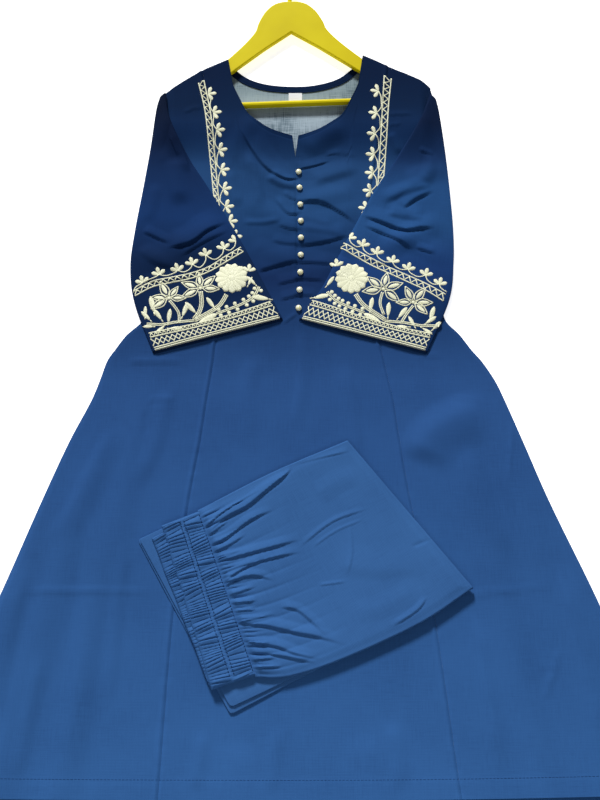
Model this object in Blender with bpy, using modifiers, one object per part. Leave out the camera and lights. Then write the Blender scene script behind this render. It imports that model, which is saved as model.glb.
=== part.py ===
"""Kurti laid flat over a plastic hanger, with its palazzo trousers folded on the skirt.

Every size is in millimetres and becomes metres when a mesh is written. In the garment's own
coordinates x runs across, with 0 on the centre front, y runs up the cloth, with 0 at the
front hem's centre, and z is the height above the floor. The whole set hangs from one empty
that puts the middle of its outline over the origin.
"""

import math
from collections import namedtuple

import bmesh
import bpy
from mathutils import Vector

MM = 0.001

# Cloth
CLOTH = 1.2              # wall of a cloth panel
SEAM_GAP = 0.3           # between the edges of two panels that are sewn together
LAYER_GAP = 0.4          # between two panels that lie on each other
SLEEVE_GAP = 0.8         # between the front and a sleeve that lies on it
FRONT_LIFT = CLOTH + LAYER_GAP   # underside of the front where it lies on the back

# Kurti outline
HEM_RISE = {-1: 3.0, 1: 8.0}     # how much higher the hem is at its left and right corners
BACK_HEM_DROP = 10.0     # how far the back shows below the front
SHOULDER_WRAP = 3.0      # how far the strip that turns down over the hanger's arm slopes out
YOKE_LINE = 880.0        # rows are level up to here and follow the neck and shoulder above it
SLIT_HALF = 4.5          # half the width of the slit at the neck edge
SLIT_BOTTOM = 926.0
NECK_X = -3.0            # the neck was laid a little left of the hem's centre
NECK_HALF = 105.0
FACING_WIDTH = 12.0
FACING_THICKNESS = 0.8

# Hanger
HANGER_BOTTOM = 2.8
BAR_DIAMETER = 10.0
BAR_Y = 1020.0
BAR_HALF = 158.0
ARM_THICKNESS = 8.0
ARM_EDGE_ROUND = 1.6
HANGER_TURN = math.radians(2.5)
HOOK_DIAMETER = 7.0
HOOK_RADIUS = 20.0
HOOK_STEM = 26.0
HANGER_X = -4.0
HANGER_TOP = 1213.0
HANGER_MID_Z = HANGER_BOTTOM + BAR_DIAMETER / 2
HANGER_LIFT = HANGER_BOTTOM + BAR_DIAMETER + 2 * LAYER_GAP - FRONT_LIFT
LIFT_FULL_Y = 986.0      # the front rests on the bar from here up
LIFT_NONE_Y = 915.0      # and lies on the back from here down
LIFT_FULL_X = 190.0
LIFT_NONE_X = 220.0

# Buttons
BUTTON_COUNT = 9
BUTTON_DIAMETER = 9.0
BUTTON_HEIGHT = 5.0
BUTTON_TOP_Y = 899.0
BUTTON_PITCH = 28.4
BUTTON_X = 2.2
BUTTON_BOW = 3.4         # how far the row of buttons bows towards the right

# Neck label
LABEL_WIDTH = 21.0
LABEL_LENGTH = 22.0
LABEL_THICKNESS = 0.6

# Folded palazzo: its own frame starts at the pile's top left corner, u along the legs, v across
PILE_CORNER = Vector((-214.0, 326.0))
PILE_TURN = math.radians(26.0)
PILE_FLOOR = FRONT_LIFT + CLOTH + LAYER_GAP
LOWER_PILE_TOP = 9.0
UPPER_PILE_TOP = 12.0
PILE_BULGE = 1.8         # how far each folded edge swells out past the groove below it
BAND_THICKNESS = 2.2
BAND_RIB = 1.1
BAND_RIBS = 32
BACK_BAND_FLOOR = LOWER_PILE_TOP + LAYER_GAP
FRONT_BAND_FLOOR = UPPER_PILE_TOP + 0.9
GATHER_COUNT = 13
GATHER_HEIGHT = 4.2
GATHER_REACH = 0.8       # share of the leg over which the gathers fade out
FOLD_DROP = 7.0          # how far the leg turns down over its folded edge

COLOURS = {
    "navy_cotton": ((0.028, 0.082, 0.215, 1), 0.75, 0.0),
    "blue_cotton": ((0.04, 0.12, 0.3, 1), 0.75, 0.0),
    "chambray_reverse": ((0.17, 0.27, 0.35, 1), 0.9, 0.0),
    "yellow_plastic": ((0.70, 0.60, 0.02, 1), 0.35, 0.0),
    "pearl": ((0.85, 0.82, 0.66, 1), 0.3, 0.0),
    "white_satin": ((0.8, 0.8, 0.78, 1), 0.5, 0.0),
}

# The laid outline: how far out the two side edges and the two panel seams are at a height
Section = namedtuple("Section", "y left right seam_left seam_right")
BODY = [
    Section(y=0, left=490, right=490, seam_left=173, seam_right=206),
    Section(y=254, left=394, right=396, seam_left=161, seam_right=178),
    Section(y=385, left=348, right=344, seam_left=147, seam_right=155),
    Section(y=471, left=316, right=314, seam_left=134, seam_right=143),
    Section(y=530, left=290, right=293, seam_left=127, seam_right=136),
    Section(y=560, left=280, right=281, seam_left=123, seam_right=130),
    Section(y=591, left=271, right=263, seam_left=119, seam_right=124),
    Section(y=606, left=262, right=251, seam_left=118, seam_right=121),
    Section(y=630, left=246, right=235, seam_left=115, seam_right=117),
    Section(y=656, left=222, right=214, seam_left=112, seam_right=112),
    Section(y=700, left=218, right=214, seam_left=109, seam_right=106),
    Section(y=768, left=226, right=222, seam_left=108, seam_right=104),
    Section(y=819, left=228, right=226, seam_left=112, seam_right=106),
    Section(y=870, left=224, right=224, seam_left=118, seam_right=112),
    Section(y=940, left=219, right=219, seam_left=127, seam_right=124),
    Section(y=1013, left=214, right=216, seam_left=138, seam_right=134),
    Section(y=1040, left=207, right=210, seam_left=143, seam_right=138),
    Section(y=1090, left=190, right=196, seam_left=150, seam_right=144),
]

LEVEL_ROWS = [0, 30, 80, 140, 200, 260, 320, 380, 430, 480, 520, 555, 590, 615, 640, 656,
              672, 690, 707, 724, 741, 758, 775, 792, 809, 826, 843, 860, YOKE_LINE]
YOKE_ROWS = 12

Point = namedtuple("Point", "x y")
# How far out and how high each shoulder is, from the neck to the sleeve
SHOULDERS = {
    -1: [Point(105, 1102), Point(122, 1093), Point(147, 1080), Point(172, 1063),
         Point(196, 1045), Point(208, 1038), Point(214, 1030)],
    1: [Point(102, 1108), Point(124, 1097), Point(149, 1083), Point(174, 1071),
        Point(199, 1057), Point(211, 1047), Point(216, 1036)],
}
# The front neck edge from the slit up to one side of the neck, out from its own centre
NECK = [Point(4, 959), Point(24, 965), Point(41, 972), Point(60, 985), Point(75, 1000),
        Point(87, 1026), Point(98, 1052), Point(102, 1070)]
BACK_NECK = [Point(-108, 1103), Point(-94, 1084), Point(-75, 1069.5), Point(-48, 1060),
             Point(-12, 1056), Point(25, 1058), Point(61, 1069), Point(85, 1088),
             Point(102, 1108)]

# Long soft ridges of the front: the line each runs along, half its width and its height
Ridge = namedtuple("Ridge", "x0 y0 x1 y1 half_width height")
FRONT_RIDGES = [
    Ridge(-2, 862, -84, 930, 24, 3.2),
    Ridge(-2, 806, -74, 846, 24, 2.8),
    Ridge(-2, 748, -64, 772, 22, 2.4),
    Ridge(8, 846, 84, 868, 22, 2.8),
    Ridge(8, 800, 80, 772, 24, 2.6),
    Ridge(8, 735, 66, 746, 22, 2.0),
    Ridge(-212, 570, -300, 0, 34, 4.0),
    Ridge(-262, 530, -384, 0, 38, 4.4),
    Ridge(-326, 420, -452, 0, 30, 3.2),
    Ridge(212, 570, 312, 0, 34, 4.0),
    Ridge(268, 520, 396, 0, 38, 4.4),
    Ridge(332, 420, 456, 0, 30, 3.2),
    Ridge(-70, 70, -76, 0, 40, 2.2),
    Ridge(84, 80, 92, 0, 40, 2.2),
]

# A sleeve row by row, from the shoulder to the cuff: its outer and inner fold
SleeveRow = namedtuple("SleeveRow", "outer_x outer_y inner_x inner_y")
SLEEVES = {
    "sleeve_left": [
        SleeveRow(-214, 1029, -205, 1034), SleeveRow(-219, 1006, -196, 985),
        SleeveRow(-225, 937, -168, 926), SleeveRow(-233, 866, -138, 876),
        SleeveRow(-241, 800, -104, 817), SleeveRow(-245, 740, -76, 765),
        SleeveRow(-236, 680, -48, 708), SleeveRow(-206, 604, -22, 656),
    ],
    "sleeve_right": [
        SleeveRow(216, 1026, 207, 1032), SleeveRow(220, 1003, 188, 982),
        SleeveRow(226, 937, 152, 922), SleeveRow(230, 866, 119, 869),
        SleeveRow(232, 800, 92, 817), SleeveRow(230, 745, 64, 760),
        SleeveRow(221, 685, 36, 703), SleeveRow(186, 604, 4, 655),
    ],
}
SLEEVE_RIDGES = [
    Ridge(-236, 738, -118, 798, 30, 4.5),
    Ridge(-200, 672, -66, 724, 26, 2.6),
    Ridge(-206, 930, -182, 850, 22, 2.6),
    Ridge(224, 905, 168, 884, 22, 3.2),
    Ridge(212, 812, 128, 766, 26, 4.2),
    Ridge(222, 752, 150, 790, 24, 3.4),
    Ridge(206, 690, 84, 722, 26, 2.6),
]
SLEEVE_ROWS = 19
SLEEVE_FLAT_POINTS = 7
SLEEVE_FOLD_POINTS = 3
SLEEVE_OPEN = 2.2        # between the middles of a sleeve's two layers
CUFF_PEEK = 4.0          # how far the under layer shows past the cuff's edge

# Outlines in the palazzo's own frame
PileCorner = namedtuple("PileCorner", "u v round")
LOWER_PILE = [PileCorner(0, -4, 7), PileCorner(312, -2, 14), PileCorner(367, 252, 16),
              PileCorner(8, 256, 7)]
UPPER_PILE = [PileCorner(64, 2, 8), PileCorner(309, 1, 14), PileCorner(363, 248, 16),
              PileCorner(48, 240, 8)]
LOWER_PILE_FOLDS = 2
UPPER_PILE_FOLDS = 1
# A strip's corners: outer edge from top to bottom, then inner edge from top to bottom
Strip = namedtuple("Strip", "outer_top outer_bottom inner_top inner_bottom")
FRONT_BAND = Strip((38, -5), (10, 220), (93, -1), (69.6, 228))
BACK_BAND = Strip((19, 4), (9, 216), (58, 3), (40, 222))
# The leg's corners, from the waistband to its folded edge, and how far its edges bow out
LEG_TOP = [Point(93.3, -1), Point(315, -1)]
LEG_BOTTOM = [Point(69.9, 228), Point(371, 250)]
LEG_BOW_TOP = 4.0
LEG_BOW_BOTTOM = 14.0


def smooth(t):
    """0 to 1 with a level start and end."""
    t = min(1.0, max(0.0, t))
    return t * t * (3 - 2 * t)


def through(knots, values, at):
    """The value at one place of a smooth curve through the given knots."""
    if at <= knots[0]:
        return values[0]
    if at >= knots[-1]:
        return values[-1]
    last = len(knots) - 1
    k = max(i for i in range(last) if knots[i] <= at)
    slopes = []
    for i in (k, k + 1):
        low, high = max(0, i - 1), min(last, i + 1)
        slopes.append((values[high] - values[low]) / (knots[high] - knots[low]))
    span = knots[k + 1] - knots[k]
    t = (at - knots[k]) / span
    return ((2 * t**3 - 3 * t**2 + 1) * values[k] + (t**3 - 2 * t**2 + t) * span * slopes[0]
            + (3 * t**2 - 2 * t**3) * values[k + 1] + (t**3 - t**2) * span * slopes[1])


def body_at(y, column):
    """One column of the body's table at a height."""
    return through([row.y for row in BODY], [getattr(row, column) for row in BODY], y)


def along(points, share):
    """The point at a share of the way along a smooth curve through points."""
    knots = [i / (len(points) - 1) for i in range(len(points))]
    return Point(through(knots, [p.x for p in points], share),
                 through(knots, [p.y for p in points], share))


def side_of(x):
    return -1 if x < 0 else 1


def side_x(y, side):
    """The side edge of the body."""
    return side * body_at(y, "left" if side < 0 else "right")


def seam_x(y, side, gap=0.0):
    """The seam between the centre and a side panel, or an edge that far in from it."""
    return side * (body_at(y, "seam_left" if side < 0 else "seam_right") - gap)


def shoulder_y(x):
    line = SHOULDERS[side_of(x)]
    return through([p.x for p in line], [p.y for p in line], abs(x))


def hem_y(x):
    return HEM_RISE[side_of(x)] * (x / BODY[0].left) ** 2


def ridge_height(ridges, x, y):
    """Height that the soft ridges add at a place."""
    total = 0.0
    for r in ridges:
        run = Vector((r.x1 - r.x0, r.y1 - r.y0))
        to = Vector((x - r.x0, y - r.y0))
        share = to.dot(run) / run.length_squared
        across = abs(to.x * run.y - to.y * run.x) / run.length
        ends = smooth((share + 0.15) / 0.3) * smooth((1.15 - share) / 0.3)
        if r.y1 == 0:
            ends = smooth((share + 0.05) / 0.4)
        total += r.height * smooth(1 - across / r.half_width) * ends
    return total


def lift(x, y):
    """How far the hanger under it holds the front up."""
    up = smooth((y - LIFT_NONE_Y) / (LIFT_FULL_Y - LIFT_NONE_Y))
    out = smooth((LIFT_NONE_X - abs(x)) / (LIFT_NONE_X - LIFT_FULL_X))
    return HANGER_LIFT * up * out


def front_floor(x, y):
    """Underside of the front."""
    return FRONT_LIFT + lift(x, y) + ridge_height(FRONT_RIDGES, x, y)


def cover_floor(x, y):
    """Highest underside of the front close around a place, for what lies on it."""
    return max(front_floor(x + dx, y + dy)
               for dx, dy in ((0, 0), (6, 0), (-6, 0), (0, 7), (0, -7)))


def new_object(name, mesh, finish, parent, collection):
    obj = bpy.data.objects.new(name, mesh)
    obj.parent = parent
    collection.objects.link(obj)
    if finish:
        mesh.materials.append(material(finish))
    return obj


def material(name):
    """A plain finish from the colour table."""
    found = bpy.data.materials.get(name)
    if found:
        return found
    colour, roughness, metallic = COLOURS[name]
    made = bpy.data.materials.new(name)
    made.use_nodes = True
    shader = made.node_tree.nodes["Principled BSDF"]
    shader.inputs["Base Color"].default_value = colour
    shader.inputs["Roughness"].default_value = roughness
    shader.inputs["Metallic"].default_value = metallic
    return made


def finished_mesh(bm, name, merge=0.02):
    """Writes a bmesh in millimetres as a smooth mesh in metres, its doubles merged."""
    bmesh.ops.remove_doubles(bm, verts=bm.verts, dist=merge)
    bmesh.ops.scale(bm, vec=(MM, MM, MM), verts=bm.verts)
    mesh = bpy.data.meshes.new(name)
    bm.to_mesh(mesh)
    bm.free()
    mesh.shade_smooth()
    return mesh


def add_grid(bm, rows, closed=False):
    """Faces between rows of points. A closed row joins its last point to its first."""
    verts = [[bm.verts.new(p) for p in row] for row in rows]
    for low, high in zip(verts, verts[1:]):
        count = len(low)
        for i in range(count if closed else count - 1):
            k = (i + 1) % count
            bm.faces.new((low[i], low[k], high[k], high[i]))
    return verts


def give_wall(obj, offset):
    wall = obj.modifiers.new("wall", "SOLIDIFY")
    wall.thickness = CLOTH * MM
    wall.offset = offset
    return wall


def panel_rows(edge_a, edge_b, top_of, columns, top_shares):
    """Rows of (x, y) from hem to top between two edges, each a function of y.

    Up to the yoke line the rows are level. Above it they close on the column's own top,
    which top_of gives for an x. top_shares places the columns at the top, and they spread
    evenly towards the hem.
    """
    grid = []
    for c in range(columns + 1):
        def share_at(y, c=c):
            blend = smooth(y / YOKE_LINE)
            return (c / columns) * (1 - blend) + top_shares[c] * blend

        def x_at(y, share_at=share_at):
            return edge_a(y) + (edge_b(y) - edge_a(y)) * share_at(y)

        top = YOKE_LINE + 100
        for _ in range(24):
            top = 0.5 * top + 0.5 * top_of(x_at(top))
        column = []
        for y in LEVEL_ROWS:
            x = x_at(y)
            column.append((x, y if y else hem_y(x)))
        for k in range(1, YOKE_ROWS + 1):
            y = YOKE_LINE + (top - YOKE_LINE) * k / YOKE_ROWS
            column.append((x_at(y), y))
        grid.append(column)
    return [list(row) for row in zip(*grid)]


def wrap_shoulder(bm, top_row, top_verts):
    """The strip that turns down over the hanger's arm, along the columns that reach it."""
    edge = []
    for (x, y), vert in zip(top_row, top_verts):
        if abs(x - NECK_X) < NECK_HALF - 0.5:
            continue
        inside = math.copysign(SHOULDER_WRAP * 0.45, x)
        x_out = x + inside
        edge.append((vert, bm.verts.new((x_out, y + SHOULDER_WRAP, FRONT_LIFT))))
    for (top_a, low_a), (top_b, low_b) in zip(edge, edge[1:]):
        bm.faces.new((top_a, top_b, low_b, low_a))


def add_front_panel(bm, rows, first_row=0):
    """A piece of the front over rows of (x, y), with its shoulder turned down."""
    points = [[(x, y, front_floor(x, y)) for x, y in row] for row in rows]
    verts = add_grid(bm, points)
    wrap_shoulder(bm, rows[-1], verts[-1])


def neck_top(x):
    """Neck edge, or the shoulder before it turns down, above an x on the centre panel."""
    out = x - NECK_X
    corner = NECK_X + math.copysign(NECK_HALF, out)
    if abs(out) >= NECK_HALF:
        return shoulder_y(x) - SHOULDER_WRAP
    edge = NECK + [Point(NECK_HALF, shoulder_y(corner) - SHOULDER_WRAP)]
    return through([p.x for p in edge], [p.y for p in edge], abs(out))


def make_front_centre(frame, collection):
    """The centre panel in two halves that meet below the neck slit."""
    bm = bmesh.new()
    neck_stops = [0, 24, 44, 63, 79, 93, NECK_HALF, 124]
    for side in (-1, 1):
        top_seam = seam_x(shoulder_y(side * 148), side, 0.5 * SEAM_GAP)
        reach = abs(top_seam - NECK_X)
        shares = [stop / reach for stop in neck_stops] + [1.0]

        def centre_edge(y, side=side):
            opened = max(0.0, (y - SLIT_BOTTOM) / (NECK[0].y - SLIT_BOTTOM))
            laid_at = NECK_X * smooth((y - YOKE_LINE) / (SLIT_BOTTOM - YOKE_LINE))
            return laid_at + side * SLIT_HALF * opened

        def outer_edge(y, side=side):
            return seam_x(y, side, 0.5 * SEAM_GAP)

        def top(x):
            return max(NECK[0].y, neck_top(x))

        rows = panel_rows(centre_edge, outer_edge, top, len(shares) - 1, shares)
        if side < 0:
            rows = [row[::-1] for row in rows]
        add_front_panel(bm, rows)
    mesh = finished_mesh(bm, "front_centre")
    give_wall(new_object("front_centre", mesh, "navy_cotton", frame, collection), 1)


def make_front_sides(frame, collection):
    """The two side panels, from the panel seam to the side and armhole."""
    columns = 9
    shares = [c / columns for c in range(columns + 1)]
    for side, name in ((-1, "front_side_left"), (1, "front_side_right")):
        def inner_edge(y, side=side):
            return seam_x(y, side, -0.5 * SEAM_GAP)

        def outer_edge(y, side=side):
            return side_x(y, side)

        def top(x):
            return shoulder_y(x) - SHOULDER_WRAP

        rows = panel_rows(inner_edge, outer_edge, top, columns, shares)
        if side < 0:
            rows = [row[::-1] for row in rows]
        bm = bmesh.new()
        add_front_panel(bm, rows)
        mesh = finished_mesh(bm, name)
        give_wall(new_object(name, mesh, "navy_cotton", frame, collection), 1)


def back_neck(share):
    """A point of the back neck edge, from the left shoulder to the right."""
    return along(BACK_NECK, share)


def flat_slab(name, outline, floor, height, finish, frame, collection):
    """A flat closed piece with this outline, in millimetres."""
    bm = bmesh.new()
    low = [bm.verts.new((p.x, p.y, floor)) for p in outline]
    face = bm.faces.new(low)
    if face.normal.z > 0:
        face.normal_flip()
    face.normal_update()
    made = bmesh.ops.extrude_face_region(bm, geom=[face])
    lifted = [v for v in made["geom"] if isinstance(v, bmesh.types.BMVert)]
    bmesh.ops.translate(bm, verts=lifted, vec=(0, 0, height))
    bmesh.ops.recalc_face_normals(bm, faces=bm.faces)
    return new_object(name, finished_mesh(bm, name), finish, frame, collection)


def make_back(frame, collection):
    """The back panel, which lies flat on the floor under everything else."""
    heights = (100, 180, 254, 320, 385, 430, 471, 500, 530, 560, 575, 591, 606, 618, 630, 643,
               656, 680, 720, 768, 819, 870, 940, 1000)
    hem = [Point(x, hem_y(x) - BACK_HEM_DROP) for x in range(-490, 491, 70)]
    right = [Point(side_x(y, 1), y) for y in heights]
    right += [Point(x, shoulder_y(x)) for x in (212, 203, 180, 150, 122)]
    neck = [back_neck(1 - k / 20) for k in range(21)]
    left = [Point(x, shoulder_y(x)) for x in (-122, -150, -180, -203, -212)]
    left += [Point(side_x(y, -1), y) for y in reversed(heights)]
    flat_slab("back", hem + right + neck + left, 0.0, CLOTH, "chambray_reverse", frame,
              collection)


def make_neck_trim(frame, collection):
    """The facing inside the back neck and the blank label sewn under it."""
    steps = 24
    outer, inner = [], []
    for k in range(steps + 1):
        share = 0.03 + 0.94 * k / steps
        here = back_neck(share)
        ahead, behind = back_neck(share + 0.01), back_neck(share - 0.01)
        run = Vector((ahead.x - behind.x, ahead.y - behind.y)).normalized()
        down = Vector((run.y, -run.x))
        outer.append(Point(here.x + 0.3 * down.x, here.y + 0.3 * down.y))
        inner.append(Point(here.x + FACING_WIDTH * down.x, here.y + FACING_WIDTH * down.y))
    floor = CLOTH + SEAM_GAP
    flat_slab("back_neck_facing", outer + inner[::-1], floor, FACING_THICKNESS,
              "navy_cotton", frame, collection)
    top = back_neck(0.5).y - FACING_WIDTH - SEAM_GAP
    left, right = NECK_X - LABEL_WIDTH / 2, NECK_X + LABEL_WIDTH / 2
    label = [Point(left, top - LABEL_LENGTH), Point(right, top - LABEL_LENGTH),
             Point(right, top), Point(left, top)]
    flat_slab("neck_label", label, floor, LABEL_THICKNESS, "white_satin", frame, collection)


def sleeve_section(outer, inner, ends_low):
    """One ring of a sleeve: its under layer, inner fold, upper layer and outer fold."""
    run = (inner - outer).normalized()
    half = SLEEVE_OPEN / 2
    under_level = CLOTH + SLEEVE_GAP + CLOTH / 2
    ring = []
    flat = [k / (SLEEVE_FLAT_POINTS - 1) for k in range(SLEEVE_FLAT_POINTS)]
    start, end = outer + run * half, inner - run * half

    def place(point, over):
        base = cover_floor(point.x, point.y) + under_level
        return Vector((point.x, point.y, base + over))

    for t in flat:
        ring.append(place(start.lerp(end, t), 0.0) + ends_low)
    for k in range(1, SLEEVE_FOLD_POINTS + 1):
        turn = math.pi * k / (SLEEVE_FOLD_POINTS + 1)
        spot = end + run * half * math.sin(turn)
        ring.append(place(spot, half - half * math.cos(turn)) + ends_low * math.cos(turn / 2))
    for t in flat:
        spot = end.lerp(start, t)
        puff = ridge_height(SLEEVE_RIDGES, spot.x, spot.y) * math.sin(math.pi * t) ** 0.4
        ring.append(place(spot, SLEEVE_OPEN + puff))
    for k in range(1, SLEEVE_FOLD_POINTS + 1):
        turn = math.pi * k / (SLEEVE_FOLD_POINTS + 1)
        spot = start - run * half * math.sin(turn)
        ring.append(place(spot, half + half * math.cos(turn)) + ends_low * math.sin(turn / 2))
    return ring


def make_sleeves(frame, collection):
    """Each sleeve is a flattened tube, folded in over the front, open at its cuff."""
    for name, table in SLEEVES.items():
        knots = [i / (len(table) - 1) for i in range(len(table))]
        rings = []
        for k in range(SLEEVE_ROWS + 1):
            share = k / SLEEVE_ROWS
            outer = Vector([through(knots, [getattr(r, c) for r in table], share)
                            for c in ("outer_x", "outer_y")])
            inner = Vector([through(knots, [getattr(r, c) for r in table], share)
                            for c in ("inner_x", "inner_y")])
            down = (outer - inner).normalized()
            down = Vector((down.y, -down.x, 0)) * (1 if down.x < 0 else -1)
            peek = CUFF_PEEK if k == SLEEVE_ROWS else 0.0
            rings.append(sleeve_section(outer, inner, -peek * down))
        bm = bmesh.new()
        add_grid(bm, rings, closed=True)
        bmesh.ops.recalc_face_normals(bm, faces=bm.faces)
        mesh = finished_mesh(bm, name)
        give_wall(new_object(name, mesh, "navy_cotton", frame, collection), 0)


def make_buttons(frame, collection):
    """Domed buttons down the centre front, each set on the cloth below it."""
    for k in range(BUTTON_COUNT):
        x = BUTTON_X + BUTTON_BOW * math.sin(math.pi * k / (BUTTON_COUNT - 1))
        y = BUTTON_TOP_Y - BUTTON_PITCH * k
        reach = BUTTON_DIAMETER * 0.5
        spots = [(x, y), (x - reach, y), (x + reach, y), (x, y - reach), (x, y + reach)]
        floor = max(front_floor(*spot) for spot in spots) + CLOTH + SEAM_GAP
        bm = bmesh.new()
        bmesh.ops.create_uvsphere(bm, u_segments=12, v_segments=6, radius=reach)
        bmesh.ops.scale(bm, vec=(1, 1, BUTTON_HEIGHT / BUTTON_DIAMETER * 1.25), verts=bm.verts)
        half = BUTTON_HEIGHT * 0.625
        cut = bmesh.ops.bisect_plane(bm, geom=bm.verts[:] + bm.edges[:] + bm.faces[:],
                                     plane_co=(0, 0, half - BUTTON_HEIGHT),
                                     plane_no=(0, 0, -1), clear_outer=True)
        rim = [e for e in cut["geom_cut"] if isinstance(e, bmesh.types.BMEdge)]
        bmesh.ops.holes_fill(bm, edges=rim, sides=0)
        bmesh.ops.recalc_face_normals(bm, faces=bm.faces)
        name = f"button_{k + 1}"
        button = new_object(name, finished_mesh(bm, name), "pearl", frame, collection)
        button.location = (x * MM, y * MM, (floor + BUTTON_HEIGHT - half) * MM)


# The hanger's half outline in its own frame, round the outside and back along the inside
HANGER_OUTSIDE = [Point(0, 1213), Point(14, 1212), Point(27, 1207), Point(37.5, 1197),
                  Point(44.5, 1187), Point(52.5, 1170), Point(56, 1158), Point(67, 1142),
                  Point(84, 1123), Point(104, 1103), Point(115, 1093.5), Point(131, 1085.5),
                  Point(150, 1075), Point(176, 1060), Point(187, 1044)]
HANGER_INSIDE = [Point(187, 1026), Point(176, 1013), Point(151, 1013), Point(151, 1036), Point(90, 1085),
                 Point(42, 1123), Point(0, 1153)]


def make_hanger(frame, collection, helpers):
    """Arms, trouser bar and hook of the moulded hanger inside the shoulders."""
    turned = bpy.data.objects.new("hanger_frame", None)
    turned.parent = frame
    collection.objects.link(turned)
    turned.rotation_euler.z = HANGER_TURN
    pivot = Vector((0, BAR_Y, 0)) * MM
    turned.location = pivot + Vector((HANGER_X, 0, 0)) * MM
    outside = [along(HANGER_OUTSIDE, k / 34) for k in range(35)]
    half = outside + HANGER_INSIDE
    outline = half + [Point(-p.x, p.y) for p in reversed(half[1:-1])]
    arms = bpy.data.curves.new("hanger_arms", "CURVE")
    arms.dimensions = "2D"
    arms.fill_mode = "BOTH"
    arms.extrude = (ARM_THICKNESS / 2 - ARM_EDGE_ROUND) * MM
    arms.bevel_depth = ARM_EDGE_ROUND * MM
    arms.bevel_resolution = 1
    arms.offset = -ARM_EDGE_ROUND * MM
    spline = arms.splines.new("POLY")
    spline.points.add(len(outline) - 1)
    spline.use_cyclic_u = True
    for dot, p in zip(spline.points, outline):
        dot.co = (p.x * MM, p.y * MM, 0, 1)
    arms_shape = new_object("hanger_arms", arms, None, turned, helpers)
    arms_shape.location = (0, -pivot.y, HANGER_MID_Z * MM)

    bpy.ops.mesh.primitive_cylinder_add(vertices=12, radius=BAR_DIAMETER / 2 * MM,
                                        depth=2 * BAR_HALF * MM)
    bar = bpy.context.object
    bar.name = "hanger_bar"
    for holder in list(bar.users_collection):
        holder.objects.unlink(bar)
    helpers.objects.link(bar)
    bar.parent = turned
    bar.rotation_euler.y = math.radians(90)
    bar.location = (0, 0, HANGER_MID_Z * MM)

    hook = bpy.data.curves.new("hanger_hook", "CURVE")
    hook.dimensions = "3D"
    hook.bevel_depth = HOOK_DIAMETER / 2 * MM
    hook.bevel_resolution = 2
    hook.use_fill_caps = True
    centre_y = HANGER_TOP + HOOK_STEM + HOOK_RADIUS
    route = [Point(0, HANGER_TOP - 6), Point(0, HANGER_TOP + HOOK_STEM * 0.6)]
    for k in range(15):
        turn = math.radians(-90 + 290 * k / 14)
        route.append(Point(HOOK_RADIUS * math.cos(turn), centre_y + HOOK_RADIUS * math.sin(turn)))
    spline = hook.splines.new("POLY")
    spline.points.add(len(route) - 1)
    for dot, p in zip(spline.points, route):
        dot.co = (p.x * MM, p.y * MM, 0, 1)
    hook_shape = new_object("hanger_hook", hook, None, turned, helpers)
    hook_shape.location = (0, -pivot.y, HANGER_MID_Z * MM)
    join_hanger([arms_shape, bar, hook_shape], turned, collection, helpers)


def join_hanger(shapes, turned, collection, helpers):
    """The hanger's arms, bar and hook as one moulded body."""
    bpy.context.view_layer.update()
    graph = bpy.context.evaluated_depsgraph_get()
    body = None
    for shape in shapes:
        mesh = bpy.data.meshes.new_from_object(shape.evaluated_get(graph))
        mesh.name = shape.name + "_mesh"
        bm = bmesh.new()
        bm.from_mesh(mesh)
        bmesh.ops.remove_doubles(bm, verts=bm.verts, dist=0.005 * MM)
        bm.to_mesh(mesh)
        bm.free()
        if body is None:
            body = new_object("hanger", mesh, "yellow_plastic", turned, collection)
            made = body
        else:
            made = new_object(shape.name + "_shape", mesh, None, turned, helpers)
            joined = body.modifiers.new(shape.name, "BOOLEAN")
            joined.operation = "UNION"
            joined.object = made
            made.hide_render = True
            made.display_type = "WIRE"
        made.matrix_local = shape.matrix_local.copy()
        bpy.data.objects.remove(shape)


def on_pile(u, v):
    """A place in the palazzo's own frame, in the garment's."""
    run = Vector((math.cos(PILE_TURN), math.sin(PILE_TURN)))
    across = Vector((math.sin(PILE_TURN), -math.cos(PILE_TURN)))
    return PILE_CORNER + run * u + across * v


def rounded_outline(corners, steps=4):
    """Corners turned into arcs, as (u, v) pairs."""
    outline = []
    count = len(corners)
    for i, c in enumerate(corners):
        here = Vector((c.u, c.v))
        before = Vector(corners[i - 1][:2])
        after = Vector(corners[(i + 1) % count][:2])
        start = here + (before - here).normalized() * c.round
        end = here + (after - here).normalized() * c.round
        for k in range(steps + 1):
            t = k / steps
            outline.append(start * (1 - t) ** 2 + here * 2 * t * (1 - t) + end * t**2)
    return outline


def pile_slab(name, corners, floor, top, folds, frame, collection):
    """A stack of folded layers: a rounded outline whose sides swell once for each fold."""
    outline = rounded_outline(corners)
    middle = sum(outline, Vector((0, 0))) / len(outline)
    levels = folds * 4
    rings = []
    for k in range(levels + 1):
        z = floor + (top - floor) * k / levels
        swell = abs(math.sin(math.pi * folds * k / levels))
        inset = PILE_BULGE * (1 - swell) + (1.6 if k == levels else 0)
        ring = []
        for p in outline:
            inward = (middle - p).normalized() * inset
            spot = on_pile(*(p + inward))
            ring.append((spot.x, spot.y, z))
        rings.append(ring)
    bm = bmesh.new()
    verts = add_grid(bm, rings, closed=True)
    bm.faces.new(verts[0][::-1])
    bm.faces.new(verts[-1])
    bmesh.ops.recalc_face_normals(bm, faces=bm.faces)
    return new_object(name, finished_mesh(bm, name), "blue_cotton", frame, collection)


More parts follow.
